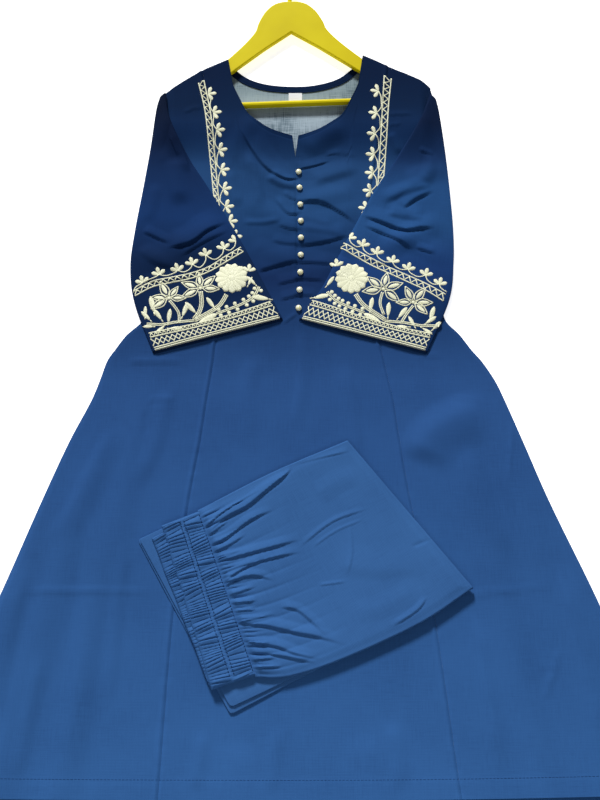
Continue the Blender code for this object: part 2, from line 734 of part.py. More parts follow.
def make_pile(frame, collection, helpers):
    """The folded legs, whose hidden layers are one solid, stepped where the band lies."""
    lower = pile_slab("palazzo_folded_legs", LOWER_PILE, PILE_FLOOR, LOWER_PILE_TOP,
                      LOWER_PILE_FOLDS, frame, collection)
    upper = pile_slab("upper_layers", UPPER_PILE, LOWER_PILE_TOP - 1.0, UPPER_PILE_TOP,
                      UPPER_PILE_FOLDS, frame, helpers)
    upper.hide_render = True
    upper.display_type = "WIRE"
    joined = lower.modifiers.new("upper_layers", "BOOLEAN")
    joined.operation = "UNION"
    joined.object = upper


def band_point(strip, across, down):
    """A place on a strip: 0 to 1 across from its outer edge, 0 to 1 down."""
    outer = Vector(strip.outer_top).lerp(Vector(strip.outer_bottom), down)
    inner = Vector(strip.inner_top).lerp(Vector(strip.inner_bottom), down)
    return on_pile(*outer.lerp(inner, across))


def make_band(name, strip, floor, channels, frame, collection):
    """An elastic casing: gathered ribs between rows of stitching, over a plain underside."""
    samples = BAND_RIBS * 3
    across_steps = channels * 2
    bm = bmesh.new()
    rows = []
    for a in range(across_steps + 1):
        across = a / across_steps
        crown = 1.0 if a % 2 else 0.25
        row = []
        for k in range(samples + 1):
            down = k / samples
            phase = k % 3 + (0 if a % 2 else 1)
            rib = BAND_RIB * crown * (0.0 if phase % 3 == 0 else 1.0)
            edge = 0.8 if a in (0, across_steps) else 0.0
            spot = band_point(strip, across, down)
            row.append((spot.x, spot.y, floor + BAND_THICKNESS - edge + rib))
        rows.append(row)
    top = add_grid(bm, rows)
    loop = top[0] + [r[-1] for r in top[1:-1]] + top[-1][::-1] + [r[0] for r in top[-2:0:-1]]
    low = [bm.verts.new((v.co.x, v.co.y, floor)) for v in loop]
    for i, vert in enumerate(loop):
        k = (i + 1) % len(loop)
        bm.faces.new((vert, loop[k], low[k], low[i]))
    bm.faces.new(low[::-1])
    bmesh.ops.recalc_face_normals(bm, faces=bm.faces)
    mesh = finished_mesh(bm, name)
    new_object(name, mesh, "blue_cotton", frame, collection)


def gather(along_leg, down):
    """Height of the gathers below the waistband, fading along the leg."""
    fade = smooth(1 - along_leg / GATHER_REACH)
    wander = 0.35 * math.sin(5.1 * down + 0.6) + 0.22 * math.sin(11.3 * down)
    spread = down + 0.02 * along_leg * math.sin(9 * down)
    phase = GATHER_COUNT * spread + wander
    return GATHER_HEIGHT * fade * abs(math.sin(math.pi * phase)) ** 0.8


def make_leg(frame, collection):
    """The leg's top layer, gathered into the waistband and turned down at its fold."""
    down_steps = GATHER_COUNT * 4
    along_steps = 11
    rows = []
    for k in range(down_steps + 1):
        down = k / down_steps
        row = []
        for a in range(along_steps + 2):
            share = min(1.0, a / along_steps)
            bow = math.sin(math.pi * share) ** 0.6
            bow *= LEG_BOW_BOTTOM * down**3 - LEG_BOW_TOP * (1 - down) ** 3
            left = Vector(LEG_TOP[0]).lerp(Vector(LEG_BOTTOM[0]), down)
            right = Vector(LEG_TOP[1]).lerp(Vector(LEG_BOTTOM[1]), down)
            inner = left.lerp(right, share)
            turned = a > along_steps
            spot = on_pile(inner.x + (0.4 if turned else 0.0), inner.y + bow)
            level = FRONT_BAND_FLOOR + gather(share, down)
            row.append((spot.x, spot.y, level - (FOLD_DROP if turned else 0.0)))
        rows.append(row)
    bm = bmesh.new()
    add_grid(bm, rows)
    bmesh.ops.recalc_face_normals(bm, faces=bm.faces)
    if sum(f.normal.z for f in bm.faces) < 0:
        bmesh.ops.reverse_faces(bm, faces=bm.faces)
    mesh = finished_mesh(bm, "palazzo_leg")
    give_wall(new_object("palazzo_leg", mesh, "blue_cotton", frame, collection), 1)


def main():
    for obj in list(bpy.data.objects):
        bpy.data.objects.remove(obj)
    collection = bpy.data.collections.new("kurti_and_palazzo")
    helpers = bpy.data.collections.new("helpers")
    for made in (collection, helpers):
        bpy.context.scene.collection.children.link(made)
    frame = bpy.data.objects.new("set_frame", None)
    collection.objects.link(frame)
    hook_rise = HANGER_TOP + HOOK_STEM + HOOK_RADIUS - BAR_Y
    top = BAR_Y + hook_rise * math.cos(HANGER_TURN) + HOOK_RADIUS + HOOK_DIAMETER / 2
    frame.location = (0, -(top - BACK_HEM_DROP) / 2 * MM, 0)
    make_back(frame, collection)
    make_neck_trim(frame, collection)
    make_front_centre(frame, collection)
    make_front_sides(frame, collection)
    make_sleeves(frame, collection)
    make_buttons(frame, collection)
    make_hanger(frame, collection, helpers)
    make_pile(frame, collection, helpers)
    make_band("palazzo_waistband_back", BACK_BAND, BACK_BAND_FLOOR, 1, frame, collection)
    make_band("palazzo_waistband_front", FRONT_BAND, FRONT_BAND_FLOOR, 2, frame, collection)
    make_leg(frame, collection)


main()
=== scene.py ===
"""Dressed scene of a kurti laid flat on its hanger, with its palazzo folded on the skirt.

Shapes are worked out in millimetres in the garment's own coordinates: x runs across, with 0 on
the centre front, y runs up the cloth from the front hem, and z is the height above the floor.
"""

import math
from collections import namedtuple

import bmesh
import bpy
import numpy as np
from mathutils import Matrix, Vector
from mathutils.bvhtree import BVHTree


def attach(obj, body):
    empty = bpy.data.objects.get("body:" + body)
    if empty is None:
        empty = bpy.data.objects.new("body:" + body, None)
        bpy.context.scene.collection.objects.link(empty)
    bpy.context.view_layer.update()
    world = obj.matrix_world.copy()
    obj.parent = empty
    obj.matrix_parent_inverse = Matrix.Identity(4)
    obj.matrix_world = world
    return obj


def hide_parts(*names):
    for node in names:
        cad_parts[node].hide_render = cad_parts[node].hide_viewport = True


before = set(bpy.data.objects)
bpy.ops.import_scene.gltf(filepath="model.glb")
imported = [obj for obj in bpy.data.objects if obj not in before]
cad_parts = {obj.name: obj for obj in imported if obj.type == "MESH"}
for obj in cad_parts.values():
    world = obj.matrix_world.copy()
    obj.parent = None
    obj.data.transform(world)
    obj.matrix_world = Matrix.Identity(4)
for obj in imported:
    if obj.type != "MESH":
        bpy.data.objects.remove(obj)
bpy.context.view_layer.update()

MM = 0.001
BANDS_OF_WAVE = 3.2      # how many bands a wave texture draws in each unit at a scale of 1

# Cloth
SOLID_CLOTH = 1.2        # wall of the solids' cloth panels
CLOTH = 0.7              # thickness of the shells here
LAYER_GAP = 0.4
SLEEVE_GAP = 0.8
FRONT_LIFT = SOLID_CLOTH + LAYER_GAP
BACK_TOP = SOLID_CLOTH
RAY_START = 60.0         # a height above all the cloth, from which pieces are set down on it

# Kurti outline
HEM_RISE = {-1: 3.0, 1: 8.0}
BACK_HEM_DROP = 10.0
HEM_DEPTH = 24.0         # from the hem's edge to its row of stitches
GARMENT_LENGTH = 1100.0  # from the front hem to the side neck
WAIST_LINE = 610.0
YOKE_LINE = 880.0
SEAM_GAP = 0.08          # between the edges of two panels sewn together
SLIT_HALF = 4.5
SLIT_BOTTOM = 926.0
PLACKET_BOTTOM = 668.0
NECK_X = -3.0
NECK_HALF = 105.0
SHOULDER_WRAP = 3.0
FACING_WIDTH = 12.0

# Hanger
HANGER_BOTTOM = 2.8
BAR_DIAMETER = 10.0
BAR_Y = 1020.0
HANGER_TURN = math.radians(2.5)
HANGER_TOP = 1213.0
HOOK_DIAMETER = 7.0
HOOK_RADIUS = 20.0
HOOK_STEM = 26.0
HANGER_LIFT = HANGER_BOTTOM + BAR_DIAMETER + 2 * LAYER_GAP - FRONT_LIFT
LIFT_FULL_Y = 986.0
LIFT_NONE_Y = 915.0
LIFT_FULL_X = 190.0
LIFT_NONE_X = 220.0
BODICE_EASE = 1.8        # how far the bodice stands off the back between its folds
SLEEVE_EASE = 1.6        # the same for the upper layer of each sleeve

# Buttons
BUTTON_COUNT = 9
BUTTON_DIAMETER = 9.0
BUTTON_HEIGHT = 5.0
BUTTON_TOP_Y = 899.0
BUTTON_PITCH = 28.4
BUTTON_X = 2.2
BUTTON_BOW = 3.4

# Folded palazzo, in its own frame: u along the legs and v across them
PILE_CORNER = (-214.0, 326.0)
PILE_TURN = math.radians(26.0)
PILE_FLOOR = FRONT_LIFT + SOLID_CLOTH + LAYER_GAP
LOWER_PILE_TOP = 9.0
UPPER_PILE_TOP = 12.0
BACK_BAND_FLOOR = LOWER_PILE_TOP + LAYER_GAP
FRONT_BAND_FLOOR = UPPER_PILE_TOP + 0.9
BAND_THICKNESS = 2.2
BAND_RIBS = 50

# The set's middle lies over the origin
HOOK_RISE = HANGER_TOP + HOOK_STEM + HOOK_RADIUS - BAR_Y
SET_TOP = BAR_Y + HOOK_RISE * math.cos(HANGER_TURN) + HOOK_RADIUS + HOOK_DIAMETER / 2
SET_Y = -(SET_TOP - BACK_HEM_DROP) / 2

Section = namedtuple("Section", "y left right seam_left seam_right")
BODY = [
    Section(y=0, left=490, right=490, seam_left=173, seam_right=206),
    Section(y=254, left=394, right=396, seam_left=161, seam_right=178),
    Section(y=385, left=348, right=344, seam_left=147, seam_right=155),
    Section(y=471, left=316, right=314, seam_left=134, seam_right=143),
    Section(y=530, left=290, right=293, seam_left=127, seam_right=136),
    Section(y=560, left=280, right=281, seam_left=123, seam_right=130),
    Section(y=591, left=271, right=263, seam_left=119, seam_right=124),
    Section(y=606, left=262, right=251, seam_left=118, seam_right=121),
    Section(y=630, left=246, right=235, seam_left=115, seam_right=117),
    Section(y=656, left=222, right=214, seam_left=112, seam_right=112),
    Section(y=700, left=218, right=214, seam_left=109, seam_right=106),
    Section(y=768, left=226, right=222, seam_left=108, seam_right=104),
    Section(y=819, left=228, right=226, seam_left=112, seam_right=106),
    Section(y=870, left=224, right=224, seam_left=118, seam_right=112),
    Section(y=940, left=219, right=219, seam_left=127, seam_right=124),
    Section(y=1013, left=214, right=216, seam_left=138, seam_right=134),
    Section(y=1040, left=207, right=210, seam_left=143, seam_right=138),
    Section(y=1090, left=190, right=196, seam_left=150, seam_right=144),
]

Point = namedtuple("Point", "x y")
SHOULDERS = {
    -1: [Point(105, 1102), Point(122, 1093), Point(147, 1080), Point(172, 1063),
         Point(196, 1045), Point(208, 1038), Point(214, 1030)],
    1: [Point(102, 1108), Point(124, 1097), Point(149, 1083), Point(174, 1071),
        Point(199, 1057), Point(211, 1047), Point(216, 1036)],
}
NECK = [Point(4, 959), Point(24, 965), Point(41, 972), Point(60, 985), Point(75, 1000),
        Point(87, 1026), Point(98, 1052), Point(102, 1070)]
BACK_NECK = [Point(-108, 1103), Point(-94, 1084), Point(-75, 1069.5), Point(-48, 1060),
             Point(-12, 1056), Point(25, 1058), Point(61, 1069), Point(85, 1088),
             Point(102, 1108)]

# The solids' long soft ridges: the line each runs along, half its width and its height
Ridge = namedtuple("Ridge", "x0 y0 x1 y1 half_width height")
FRONT_RIDGES = [
    Ridge(-2, 862, -84, 930, 24, 3.2),
    Ridge(-2, 806, -74, 846, 24, 2.8),
    Ridge(-2, 748, -64, 772, 22, 2.4),
    Ridge(8, 846, 84, 868, 22, 2.8),
    Ridge(8, 800, 80, 772, 24, 2.6),
    Ridge(8, 735, 66, 746, 22, 2.0),
    Ridge(-212, 570, -300, 0, 34, 4.0),
    Ridge(-262, 530, -384, 0, 38, 4.4),
    Ridge(-326, 420, -452, 0, 30, 3.2),
    Ridge(212, 570, 312, 0, 34, 4.0),
    Ridge(268, 520, 396, 0, 38, 4.4),
    Ridge(332, 420, 456, 0, 30, 3.2),
    Ridge(-70, 70, -76, 0, 40, 2.2),
    Ridge(84, 80, 92, 0, 40, 2.2),
]
SLEEVE_RIDGES = [
    Ridge(-236, 738, -118, 798, 30, 4.5),
    Ridge(-200, 672, -66, 724, 26, 2.6),
    Ridge(-206, 930, -182, 850, 22, 2.6),
    Ridge(224, 905, 168, 884, 22, 3.2),
    Ridge(212, 812, 128, 766, 26, 4.2),
    Ridge(222, 752, 150, 790, 24, 3.4),
    Ridge(206, 690, 84, 722, 26, 2.6),
]

SleeveRow = namedtuple("SleeveRow", "outer_x outer_y inner_x inner_y")
SLEEVES = {
    "left": [
        SleeveRow(-214, 1029, -205, 1034), SleeveRow(-219, 1006, -196, 985),
        SleeveRow(-225, 937, -168, 926), SleeveRow(-233, 866, -138, 876),
        SleeveRow(-241, 800, -104, 817), SleeveRow(-245, 740, -76, 765),
        SleeveRow(-236, 680, -48, 708), SleeveRow(-206, 604, -22, 656),
    ],
    "right": [
        SleeveRow(216, 1026, 207, 1032), SleeveRow(220, 1003, 188, 982),
        SleeveRow(226, 937, 152, 922), SleeveRow(230, 866, 119, 869),
        SleeveRow(232, 800, 92, 817), SleeveRow(230, 745, 64, 760),
        SleeveRow(221, 685, 36, 703), SleeveRow(186, 604, 4, 655),
    ],
}
SLEEVE_OPEN = 2.2        # from the lower to the upper layer of a sleeve
SLEEVE_LENGTH = 440.0
CUFF_PEEK = 4.0          # how far the lower layer shows past the upper at the cuff

# A crease is a smooth line through its points. Its height is that of a soft ridge, or below 0
# a trough, and its width is how far it reaches to each side. A lean above 0 makes the side on
# the right of its run the steeper one. A pinched one comes to a sharp line, and a tuck stands
# up on its left and drops sharply into a hollow on its right.
Crease = namedtuple("Crease", "points width height lean kind", defaults=(0.0, "soft"))
TUCK_DROP = 0.22         # the share of its width in which a tuck drops, between these widths
TUCK_DROP_LEAST = 1.5
TUCK_DROP_MOST = 3.7
TUCK_HOLLOW = 0.42       # the hollow's width and depth, as shares of the tuck's
BODICE_CREASES = [
    Crease([(-90, 972), (-54, 912), (-18, 885), (8, 892)], 32, 3.2, 0.0, "tuck"),
    Crease([(-46, 893), (-23, 878), (9, 872)], 15, 3.3, 0.4),
    Crease([(-24, 862), (-8, 852), (12, 846)], 11, 1.6, 0.0, "tuck"),
    Crease([(-36, 856), (-14, 827), (10, 830)], 24, 2.4, 0.0, "tuck"),
    Crease([(-77, 933), (-62, 882), (-54, 834)], 17, 3.0, -0.3),
    Crease([(-84, 813), (-50, 812), (-22, 817)], 7, 1.7, 0.3),
    Crease([(-30, 808), (-12, 801), (12, 799)], 14, 1.7, 0.0, "tuck"),
    Crease([(-40, 782), (-16, 776), (12, 777)], 17, 1.8, 0.0, "tuck"),
    Crease([(-60, 730), (-30, 740), (12, 751)], 30, 2.5, 0.0, "tuck"),
    Crease([(-30, 709), (-12, 714), (12, 719)], 17, 1.9, 0.0, "tuck"),
    Crease([(-26, 684), (12, 695)], 15, 1.8, 0.0, "tuck"),
    Crease([(-19, 647), (-9, 655), (4, 665)], 7, 1.2, 0.0, "tuck"),
    Crease([(-3, 903), (27, 910), (52, 919)], 15, 1.8, 0.0, "tuck"),
    Crease([(42, 927), (63, 930), (94, 925)], 9, 0.9, 0.0, "tuck"),
    Crease([(-12, 844), (32, 847), (62, 831), (92, 806)], 38, 3.0, 0.0, "tuck"),
    Crease([(-4, 824), (30, 818), (56, 804)], 16, 2.1, 0.3),
    Crease([(-4, 806), (44, 800), (78, 790)], 17, 2.7, 0.3),
    Crease([(-8, 772), (42, 779), (82, 791)], 28, 2.4, 0.0, "tuck"),
    Crease([(-8, 746), (58, 742)], 23, 2.3, 0.0, "tuck"),
    Crease([(-8, 720), (44, 715)], 19, 1.9, 0.0, "tuck"),
    Crease([(-8, 694), (30, 690)], 15, 1.6, 0.0, "tuck"),
    Crease([(8, 931), (44, 960), (80, 978)], 26, 3.8),
    Crease([(20, 881), (56, 896), (98, 909)], 20, 3.0, 0.3),
    Crease([(-2, 924), (0, 800), (1, 668)], 4, -1.9, 0.0, "pinched"),
    Crease([(-104, 905), (-98, 866), (-84, 838)], 15, 2.4),
    Crease([(-60, 1000), (-96, 940), (-112, 880)], 22, 2.1),
    Crease([(138, 992), (158, 994), (180, 993)], 9, 1.1, 0.0, "tuck"),
    Crease([(139, 974), (162, 977)], 8, 0.9, 0.0, "tuck"),
    Crease([(142, 965), (158, 928)], 11, 2.1),
    Crease([(-176, 996), (-160, 1004), (-146, 1006)], 9, 0.9, 0.0, "tuck"),
]
SKIRT_CREASES = [
    Crease([(-246, 588), (-204, 587), (-156, 585)], 9, 1.7, 0.0, "tuck"),
    Crease([(-213, 526), (-190, 530), (-168, 532)], 7, 1.1, 0.0, "tuck"),
    Crease([(-214, 514), (-209, 476)], 7, -1.0),
    Crease([(168, 593), (190, 595), (212, 594)], 7, 1.2, 0.0, "tuck"),
    Crease([(218, 528), (270, 527)], 6, 1.0, 0.0, "tuck"),
    Crease([(164, 436), (184, 476), (222, 503), (280, 524)], 46, 6.5, -0.2),
    Crease([(300, 500), (292, 448), (285, 384)], 7, 1.2, 0.0, "tuck"),
    Crease([(337, 189), (328, 153), (312, 120)], 8, 1.6, 0.0, "tuck"),
    Crease([(-378, 262), (-266, 261), (-165, 259)], 5, 1.3, 0.0, "pinched"),
    Crease([(184, 254), (240, 258), (350, 269)], 5, 1.3, 0.0, "pinched"),
    Crease([(-274, 384), (-281, 212), (-287, 14)], 22, 2.8, 0.3),
    Crease([(-230, 338), (-238, 212), (-243, 106)], 15, 2.0),
    Crease([(-362, 306), (-382, 160), (-408, 10)], 26, 3.2, -0.3),
    Crease([(-330, 190), (-344, 90), (-352, 10)], 16, 2.0),
    Crease([(232, 236), (244, 130), (258, 20)], 18, 2.4, 0.3),
    Crease([(350, 300), (372, 170), (402, 30)], 26, 3.0, 0.3),
    Crease([(-24, 92), (-30, 44), (-28, 8)], 16, 1.6),
    Crease([(120, 96), (128, 50), (130, 10)], 18, 1.8),
    Crease([(-118, 86), (-124, 44), (-126, 10)], 15, 1.6),
    Crease([(2, 642), (6, 570), (-4, 480)], 15, 1.8, 0.3),
    Crease([(-60, 600), (-70, 540), (-66, 450)], 20, 1.6),
    Crease([(66, 590), (78, 510), (84, 430)], 22, 1.8, -0.3),
    Crease([(-180, 560), (-196, 470), (-222, 400)], 18, 2.0),
    Crease([(-250, 500), (-292, 400), (-330, 320)], 24, 2.2, 0.3),
    Crease([(230, 470), (262, 380), (300, 290)], 26, 2.2, -0.3),
]
SLEEVE_CREASES = [
    Crease([(-194, 766), (-158, 774), (-132, 796), (-100, 814)], 34, 4.0, 0.0, "tuck"),
    Crease([(-172, 752), (-138, 776), (-96, 800)], 15, 2.0, 0.0, "tuck"),
    Crease([(-185, 925), (-180, 882), (-168, 838)], 22, 3.4),
    Crease([(-232, 796), (-212, 786), (-186, 772)], 15, 3.1, 0.0, "tuck"),
    Crease([(-236, 770), (-208, 746), (-168, 736)], 15, 3.0, 0.4),
    Crease([(-160, 896), (-176, 938), (-186, 972)], 15, 3.5, 0.0, "tuck"),
    Crease([(-196, 955), (-182, 922)], 7, 1.2, 0.0, "tuck"),
    Crease([(-232, 716), (-190, 712), (-150, 722)], 13, 1.7, 0.0, "tuck"),
    Crease([(-214, 880), (-220, 840), (-226, 810)], 16, 2.1),
    Crease([(123, 846), (166, 866), (206, 878)], 15, 4.1, 0.3),
    Crease([(158, 832), (177, 849), (209, 866)], 18, 3.4, 0.0, "tuck"),
    Crease([(132, 829), (162, 822), (192, 818)], 17, 3.8, 0.4),
    Crease([(88, 826), (124, 811), (159, 796), (184, 799), (208, 802)], 24, 4.5, 0.0, "tuck"),
    Crease([(96, 807), (139, 785), (174, 762)], 16, 3.2, 0.0, "tuck"),
    Crease([(174, 767), (204, 757)], 12, 2.1, 0.0, "tuck"),
    Crease([(184, 933), (210, 925)], 9, 1.4, 0.0, "tuck"),
    Crease([(206, 932), (200, 898), (190, 876)], 15, 2.4),
    Crease([(80, 756), (120, 742), (156, 736)], 15, 1.9, 0.0, "tuck"),
]
# The creases of the palazzo's top leg, in its own frame, most of them from the waistband out
LEG_CREASES = [
    Crease([(82, 36), (120, 24), (152, 22), (188, 13), (222, 4), (234, -6)], 14, 3.5, 0.0, "tuck"),
    Crease([(83, 27), (110, 18), (136, 13), (184, 9)], 7, 2.1, 0.0, "tuck"),
    Crease([(86, 38), (104, 33), (124, 29)], 6, 1.7, 0.0, "tuck"),
    Crease([(80, 50), (104, 50), (126, 46), (154, 41), (188, 43)], 11, 2.9, 0.0, "tuck"),
    Crease([(82, 60), (108, 60), (138, 56)], 8, 1.7, 0.0, "tuck"),
    Crease([(80, 70), (100, 72), (122, 74)], 7, 1.7, 0.0, "tuck"),
    Crease([(80, 73), (124, 81), (156, 87), (202, 95)], 12, 3.0, 0.0, "tuck"),
    Crease([(79, 90), (104, 92), (140, 98)], 8, 1.6, 0.0, "tuck"),
    Crease([(78, 103), (104, 98), (131, 97), (163, 103), (194, 111)], 11, 2.9, 0.0, "tuck"),
    Crease([(76, 110), (94, 106), (120, 111), (144, 131)], 10, 2.8, 0.0, "tuck"),
    Crease([(76, 120), (94, 123), (120, 126)], 7, 1.7, 0.0, "tuck"),
    Crease([(75, 130), (92, 137), (112, 144)], 8, 2.3, 0.0, "tuck"),
    Crease([(73, 141), (88, 147), (106, 154)], 7, 2.2, 0.0, "tuck"),
    Crease([(72, 150), (82, 163), (106, 177), (137, 202), (160, 219), (193, 248)],
           14, 3.2, 0.0, "tuck"),
    Crease([(74, 158), (100, 164), (126, 170)], 7, 1.6, 0.0, "tuck"),
    Crease([(132, 163), (150, 175), (160, 193), (174, 230)], 11, 2.1, 0.0, "tuck"),
    Crease([(67, 175), (78, 187), (108, 208), (125, 226), (156, 250)], 12, 3.0, 0.0, "tuck"),
    Crease([(69, 187), (84, 194), (104, 200)], 7, 1.7, 0.0, "tuck"),
    Crease([(68, 198), (98, 214), (124, 233), (145, 249)], 10, 2.8, 0.0, "tuck"),
    Crease([(67, 208), (84, 214), (102, 221)], 7, 2.1, 0.0, "tuck"),
    Crease([(66, 218), (84, 225), (105, 235)], 7, 2.3, 0.0, "tuck"),
    Crease([(62, 233), (77, 242), (92, 250)], 7, 2.2, 0.0, "tuck"),
    Crease([(234, -3), (272, 4), (316, 14)], 8, 1.3, 0.0, "tuck"),
    Crease([(233, 166), (254, 138), (270, 98)], 7, 1.0, 0.0, "tuck"),
    Crease([(190, 104), (246, 92), (300, 97)], 7, 1.3, 0.0, "tuck"),
    Crease([(206, 112), (244, 106), (292, 108)], 5, 0.9, 0.0, "tuck"),
    Crease([(325, 168), (366, 171)], 5, -0.9, 0.0, "pinched"),
    Crease([(335, 94), (344, 128)], 5, -0.9, 0.0, "pinched"),
    Crease([(190, 160), (228, 173)], 5, 1.0, 0.0, "tuck"),
    Crease([(252, 251), (294, 246), (314, 236)], 8, 1.6, 0.0, "tuck"),
    Crease([(240, 50), (280, 44), (312, 52)], 20, 1.0),
    Crease([(220, 140), (276, 176), (338, 198)], 26, 1.1, 0.3),
    Crease([(214, 212), (262, 222), (318, 216)], 20, 1.0),
]

# The palazzo's pieces, in its own frame. A band lies between its outer and its inner edge, and a
# corner of a folded layer is its place and how far from it the rounding starts.
Strip = namedtuple("Strip", "outer_top outer_bottom inner_top inner_bottom")
FRONT_BAND = Strip((38, -5), (10, 220), (93, -1), (69.6, 228))
BACK_BAND = Strip((19, 4), (9, 216), (58, 3), (40, 222))
LEG_TOP = [Point(93.3, -1), Point(204, -5), Point(315, -1)]
LEG_BOTTOM = [Point(69.9, 228), Point(84, 237), Point(108, 246), Point(155, 254), Point(230, 259),
              Point(301, 259), Point(371, 250)]
FoldedLayer = namedtuple("FoldedLayer", "corners floor top")
FOLDED_LAYERS = [
    FoldedLayer([(1, -4, 4), (313, -2, 10), (370, 251, 8), (18, 258, 4)], PILE_FLOOR + 0.1, 6.0),
    FoldedLayer([(3, -3, 4), (311, -3, 10), (367, 250, 8), (90, 252, 60), (22, 250, 5)], 6.2, 8.6),
    FoldedLayer([(64, 2, 6), (309, 1, 12), (364, 248, 12), (150, 248, 40), (74, 232, 8)], 8.8,
                UPPER_PILE_TOP),
]


def smooth(t):
    """0 to 1 with a level start and end."""
    t = np.clip(t, 0.0, 1.0)
    return t * t * (3 - 2 * t)


def through(knots, values, at):
    """Values of a smooth curve through the given knots."""
    knots = np.asarray(knots, float)
    values = np.asarray(values, float)
    slopes = np.empty_like(values)
    slopes[1:-1] = (values[2:] - values[:-2]) / (knots[2:] - knots[:-2])
    slopes[0] = (values[1] - values[0]) / (knots[1] - knots[0])
    slopes[-1] = (values[-1] - values[-2]) / (knots[-1] - knots[-2])
    at = np.clip(at, knots[0], knots[-1])
    k = np.clip(np.searchsorted(knots, at, side="right") - 1, 0, len(knots) - 2)
    span = knots[k + 1] - knots[k]
    t = (at - knots[k]) / span
    return ((2 * t**3 - 3 * t**2 + 1) * values[k] + (t**3 - 2 * t**2 + t) * span * slopes[k]
            + (3 * t**2 - 2 * t**3) * values[k + 1] + (t**3 - t**2) * span * slopes[k + 1])


def smooth_line(points, steps=8):
    """Points of a smooth curve through the given ones."""
    points = np.asarray(points, float)
    knots = np.linspace(0, 1, len(points))
    at = np.linspace(0, 1, (len(points) - 1) * steps + 1)
    return np.stack([through(knots, points[:, i], at) for i in range(points.shape[1])], axis=1)


def distances(line):
    """How far along a line each of its points is."""
    return np.concatenate([[0], np.cumsum(np.hypot(*np.diff(line, axis=0).T))])


def placed(line, knots, at):
    """Points between those of a line, whose places along it are its knots."""
    return np.stack([np.interp(at, knots, line[:, i]) for i in (0, 1)], axis=-1)


def body_at(y, column):
    """The body's width at a height, from one column of its sections."""
    return through([row.y for row in BODY], [getattr(row, column) for row in BODY], y)


def side_x(y, side):
    """The side edge of the body."""
    return side * body_at(y, "left" if side < 0 else "right")


def seam_x(y, side, gap=0.0):
    """The seam between the centre and a side panel, or an edge that far in from it."""
    return side * (body_at(y, "seam_left" if side < 0 else "seam_right") - gap)


def shoulder_y(x):
    """The shoulder's line above an x, on either side."""
    x = np.asarray(x, float)
    heights = [through([p.x for p in SHOULDERS[side]], [p.y for p in SHOULDERS[side]], abs(x))
               for side in (-1, 1)]
    return np.where(x < 0, heights[0], heights[1])


def hem_y(x):
    """The front hem, which rises a little towards its corners."""
    x = np.asarray(x, float)
    return np.where(x < 0, HEM_RISE[-1], HEM_RISE[1]) * (x / BODY[0].left) ** 2


def neck_top(x):
    """Neck edge, or the shoulder before it turns down, above an x on the front."""
    x = np.asarray(x, float)
    out = x - NECK_X
    corner = NECK_X + np.copysign(NECK_HALF, out)
    corner_y = shoulder_y(corner) - SHOULDER_WRAP
    neck = through([p.x for p in NECK], [p.y for p in NECK], abs(out))
    last = NECK[-1]
    rise = smooth((abs(out) - last.x) / (NECK_HALF - last.x))
    neck = np.where(abs(out) > last.x, last.y + (corner_y - last.y) * rise, neck)
    return np.where(abs(out) >= NECK_HALF, shoulder_y(x) - SHOULDER_WRAP, neck)


def back_top(x):
    """Back neck edge or shoulder above an x on the back."""
    x = np.asarray(x, float)
    neck = through([p.x for p in BACK_NECK], [p.y for p in BACK_NECK], x)
    inside = (x > BACK_NECK[0].x) & (x < BACK_NECK[-1].x)
    return np.where(inside, neck, shoulder_y(x))


def ridge_height(ridges, x, y):
    """Height that the solids' soft ridges add at each place."""
    total = np.zeros_like(x)
    for r in ridges:
        run_x, run_y = r.x1 - r.x0, r.y1 - r.y0
        length = math.hypot(run_x, run_y)
        share = ((x - r.x0) * run_x + (y - r.y0) * run_y) / length**2
        across = abs((x - r.x0) * run_y - (y - r.y0) * run_x) / length
        if r.y1 == 0:
            ends = smooth((share + 0.05) / 0.4)
        else:
            ends = smooth((share + 0.15) / 0.3) * smooth((1.15 - share) / 0.3)
        total += r.height * smooth(1 - across / r.half_width) * ends
    return total


def crease_height(creases, x, y, left=1):
    """Height that creases add at each place. Where y runs down the picture, left is -1."""
    total = np.zeros_like(x)
    for crease in creases:
        line = smooth_line(crease.points)
        reach = crease.width * (1 + abs(crease.lean))
        low, high = line.min(axis=0) - reach, line.max(axis=0) + reach
        near = (x > low[0]) & (x < high[0]) & (y > low[1]) & (y < high[1])
        if not near.any():
            continue
        spot_x, spot_y = x[near], y[near]
        nearest = np.full_like(spot_x, 1e9)
        side = np.zeros_like(spot_x)
        share = np.zeros_like(spot_x)
        count = len(line) - 1
        for k in range(count):
            run = line[k + 1] - line[k]
            to_x, to_y = spot_x - line[k][0], spot_y - line[k][1]
            t = np.clip((to_x * run[0] + to_y * run[1]) / (run @ run), 0, 1)
            away_x, away_y = to_x - t * run[0], to_y - t * run[1]
            away = np.hypot(away_x, away_y)
            closer = away < nearest
            nearest = np.where(closer, away, nearest)
            side = np.where(closer, np.sign(run[0] * to_y - run[1] * to_x), side)
            share = np.where(closer, (k + t) / count, share)
        side = side * left
        across = np.clip(1 - nearest / (crease.width * (1 + crease.lean * side)), 0, 1)
        profile = across**1.7 if crease.kind == "pinched" else smooth(across)
        if crease.kind == "tuck":
            drop = min(TUCK_DROP_MOST, max(TUCK_DROP_LEAST, TUCK_DROP * crease.width))
            step = smooth(0.5 + nearest * side / drop)
            hollow = np.clip(1 - nearest / (TUCK_HOLLOW * crease.width), 0, 1) ** 1.6
            profile = step * across**1.25 * (2 - across) - (1 - step) * TUCK_HOLLOW * hollow
        ends = smooth(share / 0.22) * smooth((1 - share) / 0.3)
        total[near] += crease.height * profile * ends
    return total


def lift(x, y):
    """How far the hanger under it holds the front up."""
    up = smooth((y - LIFT_NONE_Y) / (LIFT_FULL_Y - LIFT_NONE_Y))
    return HANGER_LIFT * up * smooth((LIFT_NONE_X - abs(x)) / (LIFT_NONE_X - LIFT_FULL_X))


